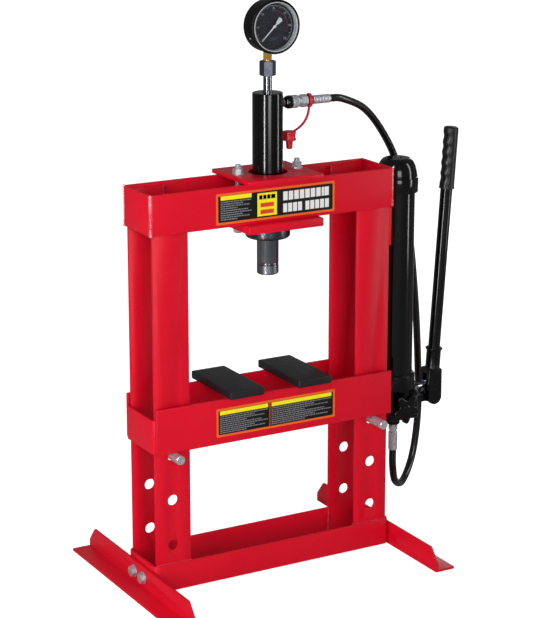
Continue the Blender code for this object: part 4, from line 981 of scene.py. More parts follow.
def weld(name: str, points: Iterable[Vector], size: float, seed: int, body: str = "frame",
         finish: str = "enamelled_fillet") -> bpy.types.Object:
    """Lay a weld bead along a path.

    Args:
        name: The bead's name.
        points: The path.
        size: Half the bead's width.
        seed: Seed for its unevenness.
        body: The body it moves with.
        finish: Its finish.

    Returns:
        The bead.
    """
    bead = BEAD.run(name, path_mesh(points), Matrix.Identity(4), Spacing=size * 0.9, Size=size,
                    Uneven=0.28, Seed=seed, Finish=MATERIALS[finish])
    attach(bead, body)
    return bead


def finish_piece(obj: bpy.types.Object, body: str, slot: str, *nodes: str) -> bpy.types.Object:
    """Set a piece on its body and report it.

    Args:
        obj: The piece.
        body: The body it moves with.
        slot: The record's material slot; not used.
        *nodes: CAD nodes that it stands for.

    Returns:
        The piece.
    """
    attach(obj, body)
    if nodes:
        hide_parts(*nodes)
    log.info("%s rides on %s, %d faces", obj.name, body, len(obj.data.polygons))
    return obj


# --- Sub-assemblies ---
@dataclass
class Camera:
    """The camera's place, aim and lens.

    Attributes:
        spot: Its place from the middle of the press's frame, in metres.
        azimuth: The side that it looks from, in degrees; 0 looks along +Y.
        elevation: How far it looks down, in degrees.
        lens: Focal length in millimetres, for the sensor's longer side.
        sensor: The sensor's longer side in millimetres.
        shift: Vertical lens shift, as a share of the sensor.
    """

    spot: tuple[float, float, float] = (-1.7481, -3.1169, 1.4812)
    azimuth: float = -29.548
    elevation: float = 13.96
    lens: float = 117.93
    sensor: float = 36.0
    shift: float = -0.0874

    def build(self) -> None:
        """Make the scene's camera."""
        data = bpy.data.cameras.new("camera")
        data.sensor_width = self.sensor
        data.lens = self.lens
        data.shift_y = self.shift
        data.clip_start, data.clip_end = 0.05, 60.0
        obj = bpy.data.objects.new("camera", data)
        bpy.context.scene.collection.objects.link(obj)
        a, e = math.radians(self.azimuth), math.radians(self.elevation)
        back = Vector((math.sin(a) * math.cos(e), -math.cos(a) * math.cos(e), math.sin(e)))
        obj.location = world(*self.spot)
        obj.rotation_mode = "QUATERNION"
        obj.rotation_quaternion = (-back).to_track_quat("-Z", "Y")
        bpy.context.scene.camera = obj


@dataclass
class Softbox:
    """One rectangular studio light."""

    name: str
    spot: tuple[float, float, float]
    aim: tuple[float, float, float]
    size: tuple[float, float]
    power: float
    diffuse: bool = True
    glossy: bool = True

    def build(self) -> None:
        """Make the light."""
        data = bpy.data.lights.new(self.name, "AREA")
        data.shape = "RECTANGLE"
        data.size, data.size_y = self.size
        data.energy = self.power
        obj = bpy.data.objects.new(self.name, data)
        bpy.context.scene.collection.objects.link(obj)
        obj.location = self.spot
        obj.visible_camera = False
        obj.visible_diffuse = self.diffuse
        obj.visible_glossy = self.glossy
        way = Vector(self.aim) - Vector(self.spot)
        obj.rotation_euler = way.to_track_quat("-Z", "Y").to_euler()


@dataclass
class Studio:
    """Pale floor, even surroundings and softboxes.

    Attributes:
        floor_half: Half the floor's side in metres.
        boxes: The lights.
    """

    floor_half: float = 14.0
    boxes: tuple[Softbox, ...] = (
        Softbox("left_key_box", (-1.90, -0.80, 1.06), (0.0, 0.0, 0.62), (1.2, 2.0), 26.0, glossy=False),
        Softbox("left_strip_box", (-1.38, -1.02, 1.06), (0.0, 0.0, 0.62), (0.15, 2.0), 34.0, diffuse=False),
        Softbox("right_strip_box", (1.60, -1.15, 1.04), (0.1, 0.0, 0.60), (0.20, 2.0), 14.0, diffuse=False),
        Softbox("camera_side_box", (-1.2, -4.4, 1.25), (0.0, 0.0, 0.50), (1.6, 1.6), 58.0),
        Softbox("back_rim_box", (2.4, 2.0, 1.0), (0.1, 0.0, 0.70), (0.5, 1.6), 9.0),
    )

    def build(self) -> None:
        """Make floor, world and lights."""
        bpy.context.scene.view_settings.view_transform = "Standard"
        self.floor()
        self.surroundings()
        for box in self.boxes:
            box.build()

    def floor(self) -> None:
        """A pale paper floor, white where nothing shades it."""
        bm = bmesh.new()
        h = self.floor_half
        bm.faces.new([bm.verts.new((x, y, -0.0002)) for x, y in ((-h, -h), (h, -h), (h, h), (-h, h))])
        mesh = bpy.data.meshes.new("studio_floor")
        bm.to_mesh(mesh)
        bm.free()
        floor = bpy.data.objects.new("studio_floor", mesh)
        bpy.context.scene.collection.objects.link(floor)
        paper, shader = start_material("pale_studio_paper", Roughness=0.9, Specular_IOR_Level=0.1)
        tree = paper.node_tree
        rays = add_node(tree, "ShaderNodeLightPath")
        cover = add_node(tree, "ShaderNodeMapRange", {"To Min": 0.85, "To Max": 0.40},
                         {"Value": (rays, "Is Glossy Ray")})
        glow = add_node(tree, "ShaderNodeMapRange", {"To Min": 0.0, "To Max": 0.85},
                        {"Value": (rays, "Is Camera Ray")})
        shader.inputs["Emission Color"].default_value = grey(1.0)
        tree.links.new(cover.outputs["Result"], shader.inputs["Base Color"])
        tree.links.new(glow.outputs["Result"], shader.inputs["Emission Strength"])
        mesh.materials.append(paper)

    def surroundings(self) -> None:
        """White to the eye, softer as light, and dark in reflections so that gloss stays deep."""
        scene_world = bpy.data.worlds.new("studio")
        scene_world.use_nodes = True
        bpy.context.scene.world = scene_world
        tree = scene_world.node_tree
        tree.nodes.clear()
        rays = add_node(tree, "ShaderNodeLightPath")
        dim = add_node(tree, "ShaderNodeMapRange", {"To Min": 0.34, "To Max": 0.20},
                       {"Value": (rays, "Is Glossy Ray")})
        seen = add_node(tree, "ShaderNodeMapRange", {"To Max": 1.05},
                        {"Value": (rays, "Is Camera Ray"), "To Min": (dim, 0)})
        light = add_node(tree, "ShaderNodeBackground", {"Color": grey(1.0)}, {"Strength": (seen, 0)})
        add_node(tree, "ShaderNodeOutputWorld", links={"Surface": (light, 0)})


@dataclass
class PressFrame:
    """The welded frame: beam, uprights, base, feet and their bolts."""

    edge: float = 0.0009
    hole_radius: float = 0.0103
    hole_heights: tuple[float, ...] = (0.0890, 0.1745, 0.2600)
    bolt_z: float = 0.024
    bolt_spacing: float = 0.038
    foot_plate: float = 0.0053
    nodes: tuple[str, ...] = (
        "beam_front", "beam_back", "beam_end_left", "beam_end_right", "base_front", "base_back",
        "base_end_left", "base_end_right", "foot_left", "foot_right", "pump_bracket",
    )
    uprights: tuple[str, ...] = (
        "upright_front_left", "upright_front_right", "upright_back_left", "upright_back_right",
    )

    def build(self) -> None:
        """Build the frame."""
        for node in self.nodes:
            plate = cad_skin(node, f"{node}_plate", "signal_red_enamel", self.edge)
            finish_piece(plate, "frame", "red_paint")
        for node in self.uprights:
            self.upright(node)
        self.beam_welds()
        self.base_welds()
        for side in (-1, 1):
            self.foot_bolts(side)

    def upright(self, node: str) -> None:
        """One upright plate with its round pin holes.

        Args:
            node: The CAD node that it stands for.
        """
        low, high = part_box(node)
        middle = (low.x + high.x) / 2
        corners = ((low.x, low.z), (high.x, low.z), (high.x, high.z), (low.x, high.z))
        loops = [[Vector((x, low.y, z)) for x, z in corners]]
        ring = oval(self.hole_radius, self.hole_radius, 40)
        loops += [[Vector((middle + x, low.y, height + z)) for x, z in ring] for height in self.hole_heights]
        plate = drilled_plate(f"{node}_plate", loops, Vector((0, high.y - low.y, 0)), 0.0006)
        finish_piece(plate, "frame", "red_paint", node)

    def beam_welds(self) -> None:
        """The beads down the beam's four corners, and where the uprights meet its inside."""
        low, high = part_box("beam_front")
        half_x, half_y = (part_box("beam_end_right")[1].x - MIDDLE_X), abs(low.y)
        seed = 3
        for sx in (-1, 1):
            for sy in (-1, 1):
                x, y = sx * (half_x - 0.0028), sy * (half_y - 0.0028)
                path = [world(x, y, low.z + 0.001), world(x, y, high.z - 0.001)]
                # The beam's corner beads take the finish with near-white painted highlight patches for
                # glints.
                weld(f"beam_corner_weld_{seed}", path, 0.0026, seed, finish="enamelled_weld_painted_glint")
                seed += 1
        for node in self.uprights:
            box_low, box_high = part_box(node)
            inner = box_low.y if abs(box_low.y) < abs(box_high.y) else box_high.y
            x = box_high.x if box_high.x < MIDDLE_X else box_low.x
            y = inner - math.copysign(0.0008, inner)
            path = [Vector((x, y, low.z + 0.002)), Vector((x, y, box_high.z))]
            weld(f"{node}_beam_weld", path, 0.0017, seed)
            seed += 1

    def base_welds(self) -> None:
        """The beads where the uprights stand in the base ring, and at its ends."""
        base_low, base_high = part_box("base_front")
        seed = 21
        for node in self.uprights:
            low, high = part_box(node)
            outer = low.y if abs(low.y) > abs(high.y) else high.y
            y = outer + math.copysign(0.0006, outer)
            z = base_high.z + 0.0002
            path = [Vector((low.x + 0.002, y, z)), Vector((high.x - 0.001, y, z))]
            weld(f"{node}_base_weld", path, 0.0015, seed)
            inner_x = high.x if high.x < MIDDLE_X else low.x
            inner_y = low.y + high.y - outer
            bottom, top = base_low.z + 0.003, base_high.z - 0.001
            path = [Vector((inner_x, inner_y, bottom)), Vector((inner_x, inner_y, top))]
            weld(f"{node}_inner_weld", path, 0.0014, seed + 1)
            seed += 2
        for side in ("left", "right"):
            low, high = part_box(f"base_end_{side}")
            sign = -1 if side == "left" else 1
            x = (low.x if side == "left" else high.x) - sign * 0.0012
            for y in (low.y, high.y):
                path = [Vector((x, y, low.z + 0.002)), Vector((x, y, high.z))]
                weld(f"base_end_weld_{side}_{seed}", path, 0.0013, seed)
                seed += 1

    def foot_bolts(self, side: int) -> None:
        """One foot's two bolts: washer, nut and thread end outside, nut strip inside the base.

        Args:
            side: -1 for the left foot, 1 for the right foot.
        """
        name = "left" if side < 0 else "right"
        low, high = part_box(f"foot_bolts_{name}")
        base_low, base_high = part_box(f"base_end_{name}")
        outer = base_low.x - self.foot_plate if side < 0 else base_high.x + self.foot_plate
        facing = Facing.LEFT if side < 0 else Facing.RIGHT
        bm = bmesh.new()
        for step in (-0.5, 0.5):
            y = step * self.bolt_spacing
            place = placed(Vector((outer, y, self.bolt_z)), facing)
            lathe(bm, washer_profile(0.0051, 0.0116, 0.0003, 0.0018), place, 40)
            nut_place = placed(Vector((outer + side * 0.0020, y, self.bolt_z)), facing, 0.35 + step)
            hex_nut(bm, 0.0172, 0.0068, nut_place)
            end = abs((low.x if side < 0 else high.x) - outer)
            lathe(bm, thread_profile(0.0049, -0.012, max(end - 0.0002, 0.0085)), place, 28)
        inner = base_high.x if side < 0 else base_low.x
        strip = sorted((inner - side * 0.0003, inner - side * 0.0083))
        block(bm, Vector((strip[0], -0.028, 0.015)), Vector((strip[1], 0.028, 0.033)))
        bolts = piece(f"foot_bolt_set_{name}", bm, ["bright_zinc"], 30)
        finish_piece(bolts, "frame", "zinc", f"foot_bolts_{name}")


@dataclass
class Sticker:
    """A vinyl sticker: a black field in an orange border, printed with plain bars."""

    name: str
    body: str
    face_y: float
    low: Point2
    high: Point2
    film: float = 0.00012

    def build(self, bars: Sequence[tuple[float, float, float, float, int]]) -> None:
        """Build the sticker.

        Args:
            bars: (left, bottom, right, top, ink slot) as shares of the black field.
        """
        inks = ["sticker_orange_ink", "sticker_black_ink", "sticker_yellow_ink", "sticker_white_ink",
                "sticker_grey_ink", "sticker_red_ink"]
        bm = bmesh.new()
        border = 0.0042
        self.sheet(bm, self.low, self.high, 0, 0)
        inner_low = (self.low[0] + border, self.low[1] + border)
        inner_high = (self.high[0] - border, self.high[1] - border)
        self.sheet(bm, inner_low, inner_high, 1, 1)
        wide, tall = inner_high[0] - inner_low[0], inner_high[1] - inner_low[1]
        for left, bottom, right, top, ink in bars:
            a = (inner_low[0] + left * wide, inner_low[1] + bottom * tall)
            b = (inner_low[0] + right * wide, inner_low[1] + top * tall)
            self.sheet(bm, a, b, ink, 3 if ink == 5 else 2)
        finish_piece(piece(self.name, bm, inks, 20), self.body, "red_paint")

    def sheet(self, bm: bmesh.types.BMesh, low: Point2, high: Point2, slot: int, layer: int) -> None:
        """Add one layer of film or ink.

        Args:
            bm: The mesh.
            low: Lower left corner, from the middle of the press's frame.
            high: Upper right corner.
            slot: The layer's ink slot.
            layer: How many layers lie under it.
        """
        back = self.face_y - self.film * layer
        front = back - self.film
        rise = min(0.002, (high[0] - low[0]) / 3, (high[1] - low[1]) / 3) if layer < 2 else 0.0
        outline = [(low[0], -high[1]), (high[0], -high[1]), (high[0], -low[1]), (low[0], -low[1])]
        if rise:
            outline = rounded(outline, rise, 3)
        place = Matrix.Translation((MIDDLE_X, 0, 0)) @ Matrix.Rotation(-math.pi / 2, 4, "X")
        prism(bm, outline, front, back, place, slot)


def text_lines(left: float, right: float, bottom: float, top: float, rows: int, ink: int) -> list:
    """Rows of short bars that stand for small print.

    Args:
        left: Left side, as a share of the field.
        right: Right side.
        bottom: Lower side.
        top: Upper side.
        rows: How many rows.
        ink: The bars' ink slot.

    Returns:
        (left, bottom, right, top, ink) bars.
    """
    bars = []
    pitch = (top - bottom) / rows
    for row in range(rows):
        z = top - (row + 1) * pitch
        x = left
        k = row * 7 + 3
        stop = right - (right - left) * (0.0, 0.28, 0.06, 0.45, 0.12)[row % 5]
        while x < stop - 0.004:
            wide = 0.010 + 0.005 * (k * 37 % 11) / 3
            bars.append((x, z + pitch * 0.32, min(x + wide, stop), z + pitch * 0.80, ink))
            x += wide + 0.0045
            k += 1
    return bars


@dataclass
class Stickers:
    """The stickers on the front of the beam and of the bed."""

    beam: tuple[Point2, Point2] = ((-0.1210, 0.6725), (0.1220, 0.7285))
    bed: tuple[Point2, Point2] = ((-0.1270, 0.2825), (0.1215, 0.3360))

    def build(self) -> None:
        """Build both."""
        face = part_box("beam_front")[0].y - 0.00002
        bars = [(0.02, 0.83, 0.285, 0.99, 2)]
        bars += text_lines(0.02, 0.285, 0.05, 0.80, 9, 4)
        bars += [(0.335, 0.06, 0.505, 0.94, 2)]
        bars += [(0.350, 0.70, 0.378, 0.86, 1), (0.385, 0.70, 0.413, 0.86, 1), (0.420, 0.70, 0.448, 0.86, 1),
                 (0.455, 0.70, 0.490, 0.86, 1)]
        bars += [(0.362, 0.40, 0.478, 0.56, 5), (0.362, 0.14, 0.478, 0.30, 5)]
        bars += self.blocks(0.560, 0.975, 0.56, 0.90, (1, 1, 1, 1, 1, 1, 1, 0.5, 1))
        bars += self.blocks(0.560, 0.975, 0.10, 0.44, (1, 1, 1, 1, 0, 1, 1, 1, 1, 1))
        Sticker("beam_sticker", "frame", face, *self.beam).build(bars)
        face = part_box("bed_front")[0].y - 0.00002
        bars = [(0.012, 0.82, 0.425, 0.985, 2)] + text_lines(0.012, 0.425, 0.03, 0.79, 9, 4)
        bars += [(0.4375, -0.02, 0.4435, 1.02, 0)]
        bars += [(0.455, 0.82, 0.985, 0.985, 2)] + text_lines(0.455, 0.985, 0.03, 0.79, 9, 4)
        Sticker("bed_sticker", "bed", face, *self.bed).build(bars)

    @staticmethod
    def blocks(left: float, right: float, bottom: float, top: float, widths: Sequence[float]) -> list:
        """A row of plain white blocks.

        Args:
            left: Left side, as a share of the field.
            right: Right side.
            bottom: Lower side.
            top: Upper side.
            widths: Each block's relative width; 0 leaves a gap.

        Returns:
            (left, bottom, right, top, ink) bars.
        """
        unit = (right - left) / sum(w if w else 0.5 for w in widths)
        bars, x = [], left
        for w in widths:
            step = unit * (w if w else 0.5)
            if w:
                bars.append((x, bottom, x + step * 0.80, top, 3))
            x += step
        return bars


@dataclass
class Bed:
    """The bed, its support pins and the arbor plates."""

    edge: float = 0.0010

    def build(self) -> None:
        """Build the bed."""
        for node in ("bed_front", "bed_back", "bed_end_left", "bed_end_right"):
            plate = cad_skin(node, f"{node}_plate", "signal_red_enamel", self.edge, 3)
            finish_piece(plate, "bed", "red_paint")
        for side in ("left", "right"):
            self.arbor(side)
            self.pin(side)
        self.welds()

    def arbor(self, side: str) -> None:
        """One arbor plate: sawn and tumbled steel with rounded edges.

        Args:
            side: "left" or "right".
        """
        low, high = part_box(f"arbor_plate_{side}")
        bm = bmesh.new()
        block(bm, low, high)
        plate = piece(f"arbor_block_{side}", bm, ["black_oxide_plate"])
        softened(plate, 0.0024, 4)
        finish_piece(plate, f"arbor_{side}", "arbor_steel", f"arbor_plate_{side}")

    def pin(self, side: str) -> None:
        """One support pin, chamfered at both ends.

        Args:
            side: "left" or "right".
        """
        low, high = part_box(f"support_pin_{side}")
        radius = (high.x - low.x) / 2
        place = placed(Vector(((low.x + high.x) / 2, high.y, (low.z + high.z) / 2)), Facing.FRONT)
        length = high.y - low.y
        bm = bmesh.new()
        edge = 0.0012
        lathe(bm, [(0, 0), (radius - edge, 0), (radius, edge), (radius, length - edge),
                   (radius - edge, length), (0, length)], place, 64)
        made = piece(f"bed_pin_{side}", bm, ["bright_zinc"])
        finish_piece(made, f"pin_{side}", "zinc", f"support_pin_{side}")

    def welds(self) -> None:
        """The beads inside, where the channel ends meet the bed plates."""
        seed = 61
        for side in ("left", "right"):
            low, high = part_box(f"bed_end_{side}")
            tip = high.x if side == "left" else low.x
            for y in (low.y + 0.0006, high.y - 0.0006):
                path = [Vector((tip, y, low.z + 0.002)), Vector((tip, y, high.z - 0.001))]
                weld(f"bed_end_weld_{side}_{seed}", path, 0.0012, seed, "bed")
                seed += 1


@dataclass
class RamUnit:
    """Clamp plates, studs, cylinder, lock ring and ram."""

    x: float = 0.014
    top_hole: float = 0.036
    bore: float = 0.0281
    cylinder_radius: float = 0.0278
    ram_radius: float = 0.020
    ring_holes: int = 6
    groove: float = 0.0005
    screw_z: float = 0.5855
    spring_turns: int = 22

    def build(self) -> None:
        """Build the ram unit."""
        for node, edge in (("ram_plate_top", 0.0008), ("ram_plate_bottom", 0.0012)):
            self.plate(node, edge)
        for side in (-1, 1):
            self.stud(side)
        self.cylinder()
        self.lock_ring()
        self.rod()
        self.cap()
        self.spring()

    def plate(self, node: str, edge: float) -> None:
        """One clamp plate with a round hole.

        Args:
            node: The CAD node that it stands for.
            edge: The rounding of its edges.
        """
        low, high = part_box(node)
        hole = self.top_hole if node.endswith("top") else self.bore
        middle = world(self.x, 0, 0).x
        corners = ((low.x, low.y), (high.x, low.y), (high.x, high.y), (low.x, high.y))
        loops = [[Vector((x, y, low.z)) for x, y in corners]]
        loops.append([Vector((middle + x, y, low.z)) for x, y in oval(hole, hole, 72)])
        plate = drilled_plate(f"{node}_steel", loops, Vector((0, 0, high.z - low.z)), edge)
        finish_piece(plate, "frame", "red_paint", node)

    def stud(self, side: int) -> None:
        """One clamp stud: threaded bar, washer and nut on top, nut below.

        Args:
            side: -1 for the left one, 1 for the right one.
        """
        name = "left" if side < 0 else "right"
        low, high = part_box(f"clamp_stud_{name}")
        x = (low.x + high.x) / 2
        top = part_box("ram_plate_top")[1].z + 0.0003
        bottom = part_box("ram_plate_bottom")[0].z - 0.0003
        bm = bmesh.new()
        place = placed(Vector((x, 0, 0)))
        lathe(bm, thread_profile(0.0055, low.z, high.z, 0.0016), place, 32)
        lathe(bm, washer_profile(0.0056, 0.0105, top, top + 0.0019), place, 40)
        hex_nut(bm, 0.017, 0.009, placed(Vector((x, 0, top + 0.002)), spin=0.3 + side * 0.2))
        hex_nut(bm, 0.017, 0.009, placed(Vector((x, 0, bottom - 0.009)), spin=0.5))
        finish_piece(piece(f"clamp_stud_set_{name}", bm, ["bright_zinc"], 30), "frame", "zinc",
                     f"clamp_stud_{name}")

    def cylinder(self) -> None:
        """The black cylinder with its shoulder."""
        low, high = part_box("cylinder_body")
        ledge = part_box("ram_plate_bottom")[1].z + 0.0003
        outer = self.cylinder_radius
        section = [(0.0085, high.z), (outer, high.z), (outer, ledge + 0.008), (0.033, ledge + 0.008),
                   (0.033, ledge), (outer, ledge), (outer, low.z), (0.0203, low.z), (0.0203, low.z + 0.0145),
                   (0.024, low.z + 0.0145), (0.024, high.z - 0.012), (0.0085, high.z - 0.012)]
        bm = bmesh.new()
        lathe(bm, rounded(section, 0.0022, 5), placed(world(self.x, 0, 0)), 96)
        body = piece("ram_cylinder", bm, ["gloss_black_enamel"], 40)
        finish_piece(body, "frame", "black_paint", "cylinder_body")

    def lock_ring(self) -> None:
        """The lock ring with its spanner holes."""
        low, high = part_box("lock_ring")
        outer = (high.x - low.x) / 2
        section = [(self.bore, high.z), (outer - 0.0015, high.z), (outer, high.z - 0.0015),
                   (outer, low.z + 0.003), (outer - 0.003, low.z), (self.bore, low.z)]
        bm = bmesh.new()
        lathe(bm, rounded(section, 0.0007, 3), placed(world(self.x, 0, 0)), 120)
        ring = piece("ram_lock_ring", bm, ["blued_tool_steel"], 40)
        cutters = bmesh.new()
        middle = (low.z + high.z) / 2
        for i in range(self.ring_holes):
            angle = math.radians(-50 + 360 / self.ring_holes * i)
            place = Matrix.Translation(world(self.x, 0, middle)) @ Matrix.Rotation(angle, 4, "Z")
            place = place @ Matrix.Rotation(math.pi / 2, 4, "Y")
            start, end = outer - 0.006, outer + 0.01
            lathe(cutters, [(0, start), (0.0036, start), (0.0036, end), (0, end)], place, 28)
        tool = piece("spanner_holes", cutters, ["blued_tool_steel"])
        mod = ring.modifiers.new("holes", "BOOLEAN")
        mod.object, mod.solver = tool, "EXACT"
        settled(ring, 40)
        bpy.data.objects.remove(tool, do_unlink=True)
        finish_piece(ring, "frame", "zinc", "lock_ring")

    def rod(self) -> None:
        """The chrome rod with its piston and the groove above the end cap."""
        low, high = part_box("ram_rod")
        radius, piston = self.ram_radius, (high.x - low.x) / 2
        g = self.groove
        section = [(0.010, high.z), (piston, high.z), (piston, high.z - 0.020), (radius, high.z - 0.020),
                   (radius, low.z + 0.0040), (radius - g, low.z + 0.0036), (radius - g, low.z + 0.0028),
                   (radius, low.z + 0.0024), (radius, low.z + 0.0010), (radius - 0.0010, low.z),
                   (0.0088, low.z), (0.0088, low.z + 0.012), (0.0, low.z + 0.012), (0.0, 0.640),
                   (0.010, 0.640)]
        bm = bmesh.new()
        lathe(bm, rounded(section, 0.0003, 2), placed(world(self.x, 0, 0)), 96)
        finish_piece(piece("ram_chrome_rod", bm, ["hard_chrome"], 40), "ram", "chrome", "ram_rod")
        screw = bmesh.new()
        spot = world(self.x + radius - 0.00172, 0, self.screw_z)
        section = [(0, 0), (0.0021, 0), (0.0021, 0.0018), (0.0012, 0.0018), (0.0012, 0.0008), (0, 0.0008)]
        lathe(screw, section, placed(spot, Facing.RIGHT), 24)
        finish_piece(piece("ram_set_screw", screw, ["cast_black_enamel"]), "ram", "black_paint")

    def cap(self) -> None:
        """The ground steel end cap, with chamfered edges."""
        low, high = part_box("ram_cap")
        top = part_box("ram_rod")[0].z - 0.0003
        radius = (high.x - low.x) / 2
        section = [(0.0, high.z), (0.0085, high.z), (0.0085, top), (radius - 0.0009, top),
                   (radius, top - 0.0009), (radius, low.z + 0.0018), (radius - 0.0018, low.z), (0.0, low.z)]
        bm = bmesh.new()
        lathe(bm, section, placed(world(self.x, 0, 0)), 96)
        finish_piece(piece("ram_end_cap", bm, ["ground_tool_steel"], 40), "ram", "dark_steel", "ram_cap")

    def spring(self) -> None:
        """The return spring inside the rod, as one fixed coil."""
        low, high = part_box("return_spring")
        radius, wire, turns = 0.0072, 0.0011, self.spring_turns
        path = []
        for i in range(turns * 16 + 1):
            a = 2 * math.pi * i / 16
            z = high.z - wire + (low.z - high.z + 2 * wire) * i / (turns * 16)
            path.append(world(self.x + radius * math.cos(a), radius * math.sin(a), z))
        bm = bmesh.new()
        tube(bm, path, oval(wire, wire, 8), Vector((0, 0, 1)))
        coil = piece("ram_return_spring", bm, ["blackened_nut_steel"])
        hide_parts("return_spring")
        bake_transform(coil)


@dataclass
class Gauge:
    """The pressure gauge, its stem, coupling nut and adapter pipe."""

    x: float = 0.014
    z: float = 1.0112
    front: float = 0.031
    back: float = 0.011
    rim: float = 0.0485
    body: float = 0.0472
    bezel: float = 0.0433
    dial_depth: float = 0.0095
    sweep: float = 270.0
    start: float = 225.0
    needle_lift: float = 0.0248
    number_ring: float = 0.0317
    number_size: float = 0.0052
    red_start: float = 1.75
    red_step: float = -0.118

    def __post_init__(self) -> None:
        """Work out the dial's place."""
        self.centre = world(self.x, 0, self.z)
        self.ahead = placed(self.centre, Facing.FRONT)
        self.dial = self.front - self.dial_depth

    def build(self) -> None:
        """Build the gauge."""
        self.case()
        self.bezel_ring()
        self.dial_face()
        self.marks()
        self.numbers()
        self.needle()
        self.glass()
        self.fittings()

    def case(self) -> None:
        """The deep steel case, its relief plug and side screw."""
        inner = self.body - 0.002
        section = [(self.bezel + 0.0005, self.front - 0.0005), (self.rim - 0.0008, self.front),
                   (self.rim, self.front - 0.0008), (self.rim, self.front - 0.0075),
                   (self.body, self.front - 0.0090), (self.body, 0.0), (self.body - 0.0004, -0.004),
                   (self.body - 0.0022, -0.0075), (self.body - 0.0060, -0.0102),
                   (self.body - 0.0100, -self.back),
                   (0.0, -self.back), (0.0, -self.back + 0.002), (self.body - 0.012, -self.back + 0.002),
                   (inner, -0.001), (inner, self.dial - 0.0013), (self.bezel + 0.0005, self.dial - 0.0013)]
        bm = bmesh.new()
        lathe(bm, section, self.ahead, 120)
        spot = self.centre + Vector((0, -0.010, self.body - 0.0008))
        lathe(bm, disc_profile(0.0042, 0.0, 0.0018, 0.0006), placed(spot), 32)
        angle = math.radians(205)
        reach = self.body - 0.0006
        side = self.centre + Vector((math.cos(angle) * reach, -0.014, math.sin(angle) * reach))
        place = Matrix.Translation(side) @ Matrix.Rotation(-angle + math.pi / 2, 4, "Y")
        lathe(bm, disc_profile(0.0019, 0.0, 0.0012, 0.0004), place, 24, 1)
        case = piece("gauge_steel_case", bm, ["satin_black_enamel", "bright_zinc"], 40)
        finish_piece(case, "frame", "black_paint", "gauge_case")

    def bezel_ring(self) -> None:
        """The pale ring that holds the glass."""
        lip = self.bezel + 0.0008
        section = [(lip, self.front + 0.0006), (lip, self.front - 0.0006),
                   (self.bezel + 0.0002, self.front - 0.0008), (self.bezel + 0.0002, self.dial + 0.0002),
                   (self.bezel - 0.0022, self.dial + 0.0002),
                   (self.bezel - 0.0008, self.front - 0.0036), (self.bezel - 0.0008, self.front + 0.0006)]
        bm = bmesh.new()
        lathe(bm, rounded(section, 0.0003, 2), self.ahead, 120)
        finish_piece(piece("gauge_bezel_ring", bm, ["pale_bezel_ring"], 40), "frame", "pale_grey")

    def dial_face(self) -> None:
        """The printed dial disc."""
        bm = bmesh.new()
        radius, back = self.bezel - 0.0001, self.dial - 0.0009
        lathe(bm, [(0, self.dial), (radius, self.dial), (radius, back), (0, back)], self.ahead, 96)
        finish_piece(piece("gauge_dial_disc", bm, ["dial_ink_navy"]), "frame", "dial_blue", "gauge_dial")

    def marks(self) -> None:
        """The scale's marks, its red band and two plain bars."""
        seed = path_mesh([Vector((0, 0, 0))])
        start = math.radians(self.start)
        step = -math.radians(self.sweep)
        place = self.ahead @ Matrix.Translation((0, 0, self.dial + 0.00010))
        rings = (
            ("gauge_fine_marks", 61, 0.0358, (0.0020, 0.00030, 0.0002), "dial_ink_pale"),
            ("gauge_main_marks", 13, 0.0350, (0.0036, 0.00055, 0.0002), "dial_ink_pale"),
            ("gauge_inner_marks", 19, 0.0268, (0.0012, 0.00026, 0.0002), "dial_ink_red"),
        )
        for name, count, radius, bar, ink in rings:
            red = ink == "dial_ink_red"
            first, each = (self.red_start, self.red_step) if red else (start, step / (count - 1))
            made = RING.run(name, seed.copy(), place, Count=count, Radius=radius, Start=first, Step=each,
                            Bar=bar, Finish=MATERIALS[ink])
            finish_piece(made, "frame", "pale_grey")
        arcs = bmesh.new()
        on_dial = self.ahead @ Matrix.Translation((0, 0, self.dial))
        for radius, low, high, slot in ((0.0372, 225, -45, 0), (0.0281, 100, -22, 1)):
            turns = [math.radians(low + (high - low) * i / 60) for i in range(61)]
            outer, inner = ([(r * math.cos(a), r * math.sin(a)) for a in turns]
                            for r in (radius + 0.00022, radius - 0.00022))
            prism(arcs, outer + inner[::-1], 0.00004, 0.00020, on_dial, slot)
        for z, half in ((-0.0205, 0.0085), (-0.0236, 0.0060)):
            outline = [(-half, z - 0.0005), (half, z - 0.0005), (half, z + 0.0005), (-half, z + 0.0005)]
            prism(arcs, outline, 0.00004, 0.00020, on_dial, 2)
        made = piece("gauge_scale_arcs", arcs, ["dial_ink_pale", "dial_ink_red", "dial_ink_blue"])
        finish_piece(made, "frame", "pale_grey")

    def numbers(self) -> None:
        """The scale's plain numbers."""
        meshes = []
        for i in range(7):
            angle = math.radians(self.start - self.sweep * i / 6)
            curve = bpy.data.curves.new("number", "FONT")
            curve.body = str(i * 10)
            curve.size = self.number_size
            curve.align_x, curve.align_y = "CENTER", "CENTER"
            curve.extrude = 0.00005
            text = bpy.data.objects.new("number", curve)
            bpy.context.scene.collection.objects.link(text)
            graph = bpy.context.evaluated_depsgraph_get()
            mesh = bpy.data.meshes.new_from_object(text.evaluated_get(graph))
            x, y = self.number_ring * math.cos(angle), self.number_ring * math.sin(angle)
            mesh.transform(self.ahead @ Matrix.Translation((x, y, self.dial + 0.00010)))
            meshes.append(mesh)
            bpy.data.objects.remove(text, do_unlink=True)
        bm = bmesh.new()
        for mesh in meshes:
            bm.from_mesh(mesh)
        finish_piece(piece("gauge_numbers", bm, ["dial_ink_pale"]), "frame", "pale_grey")

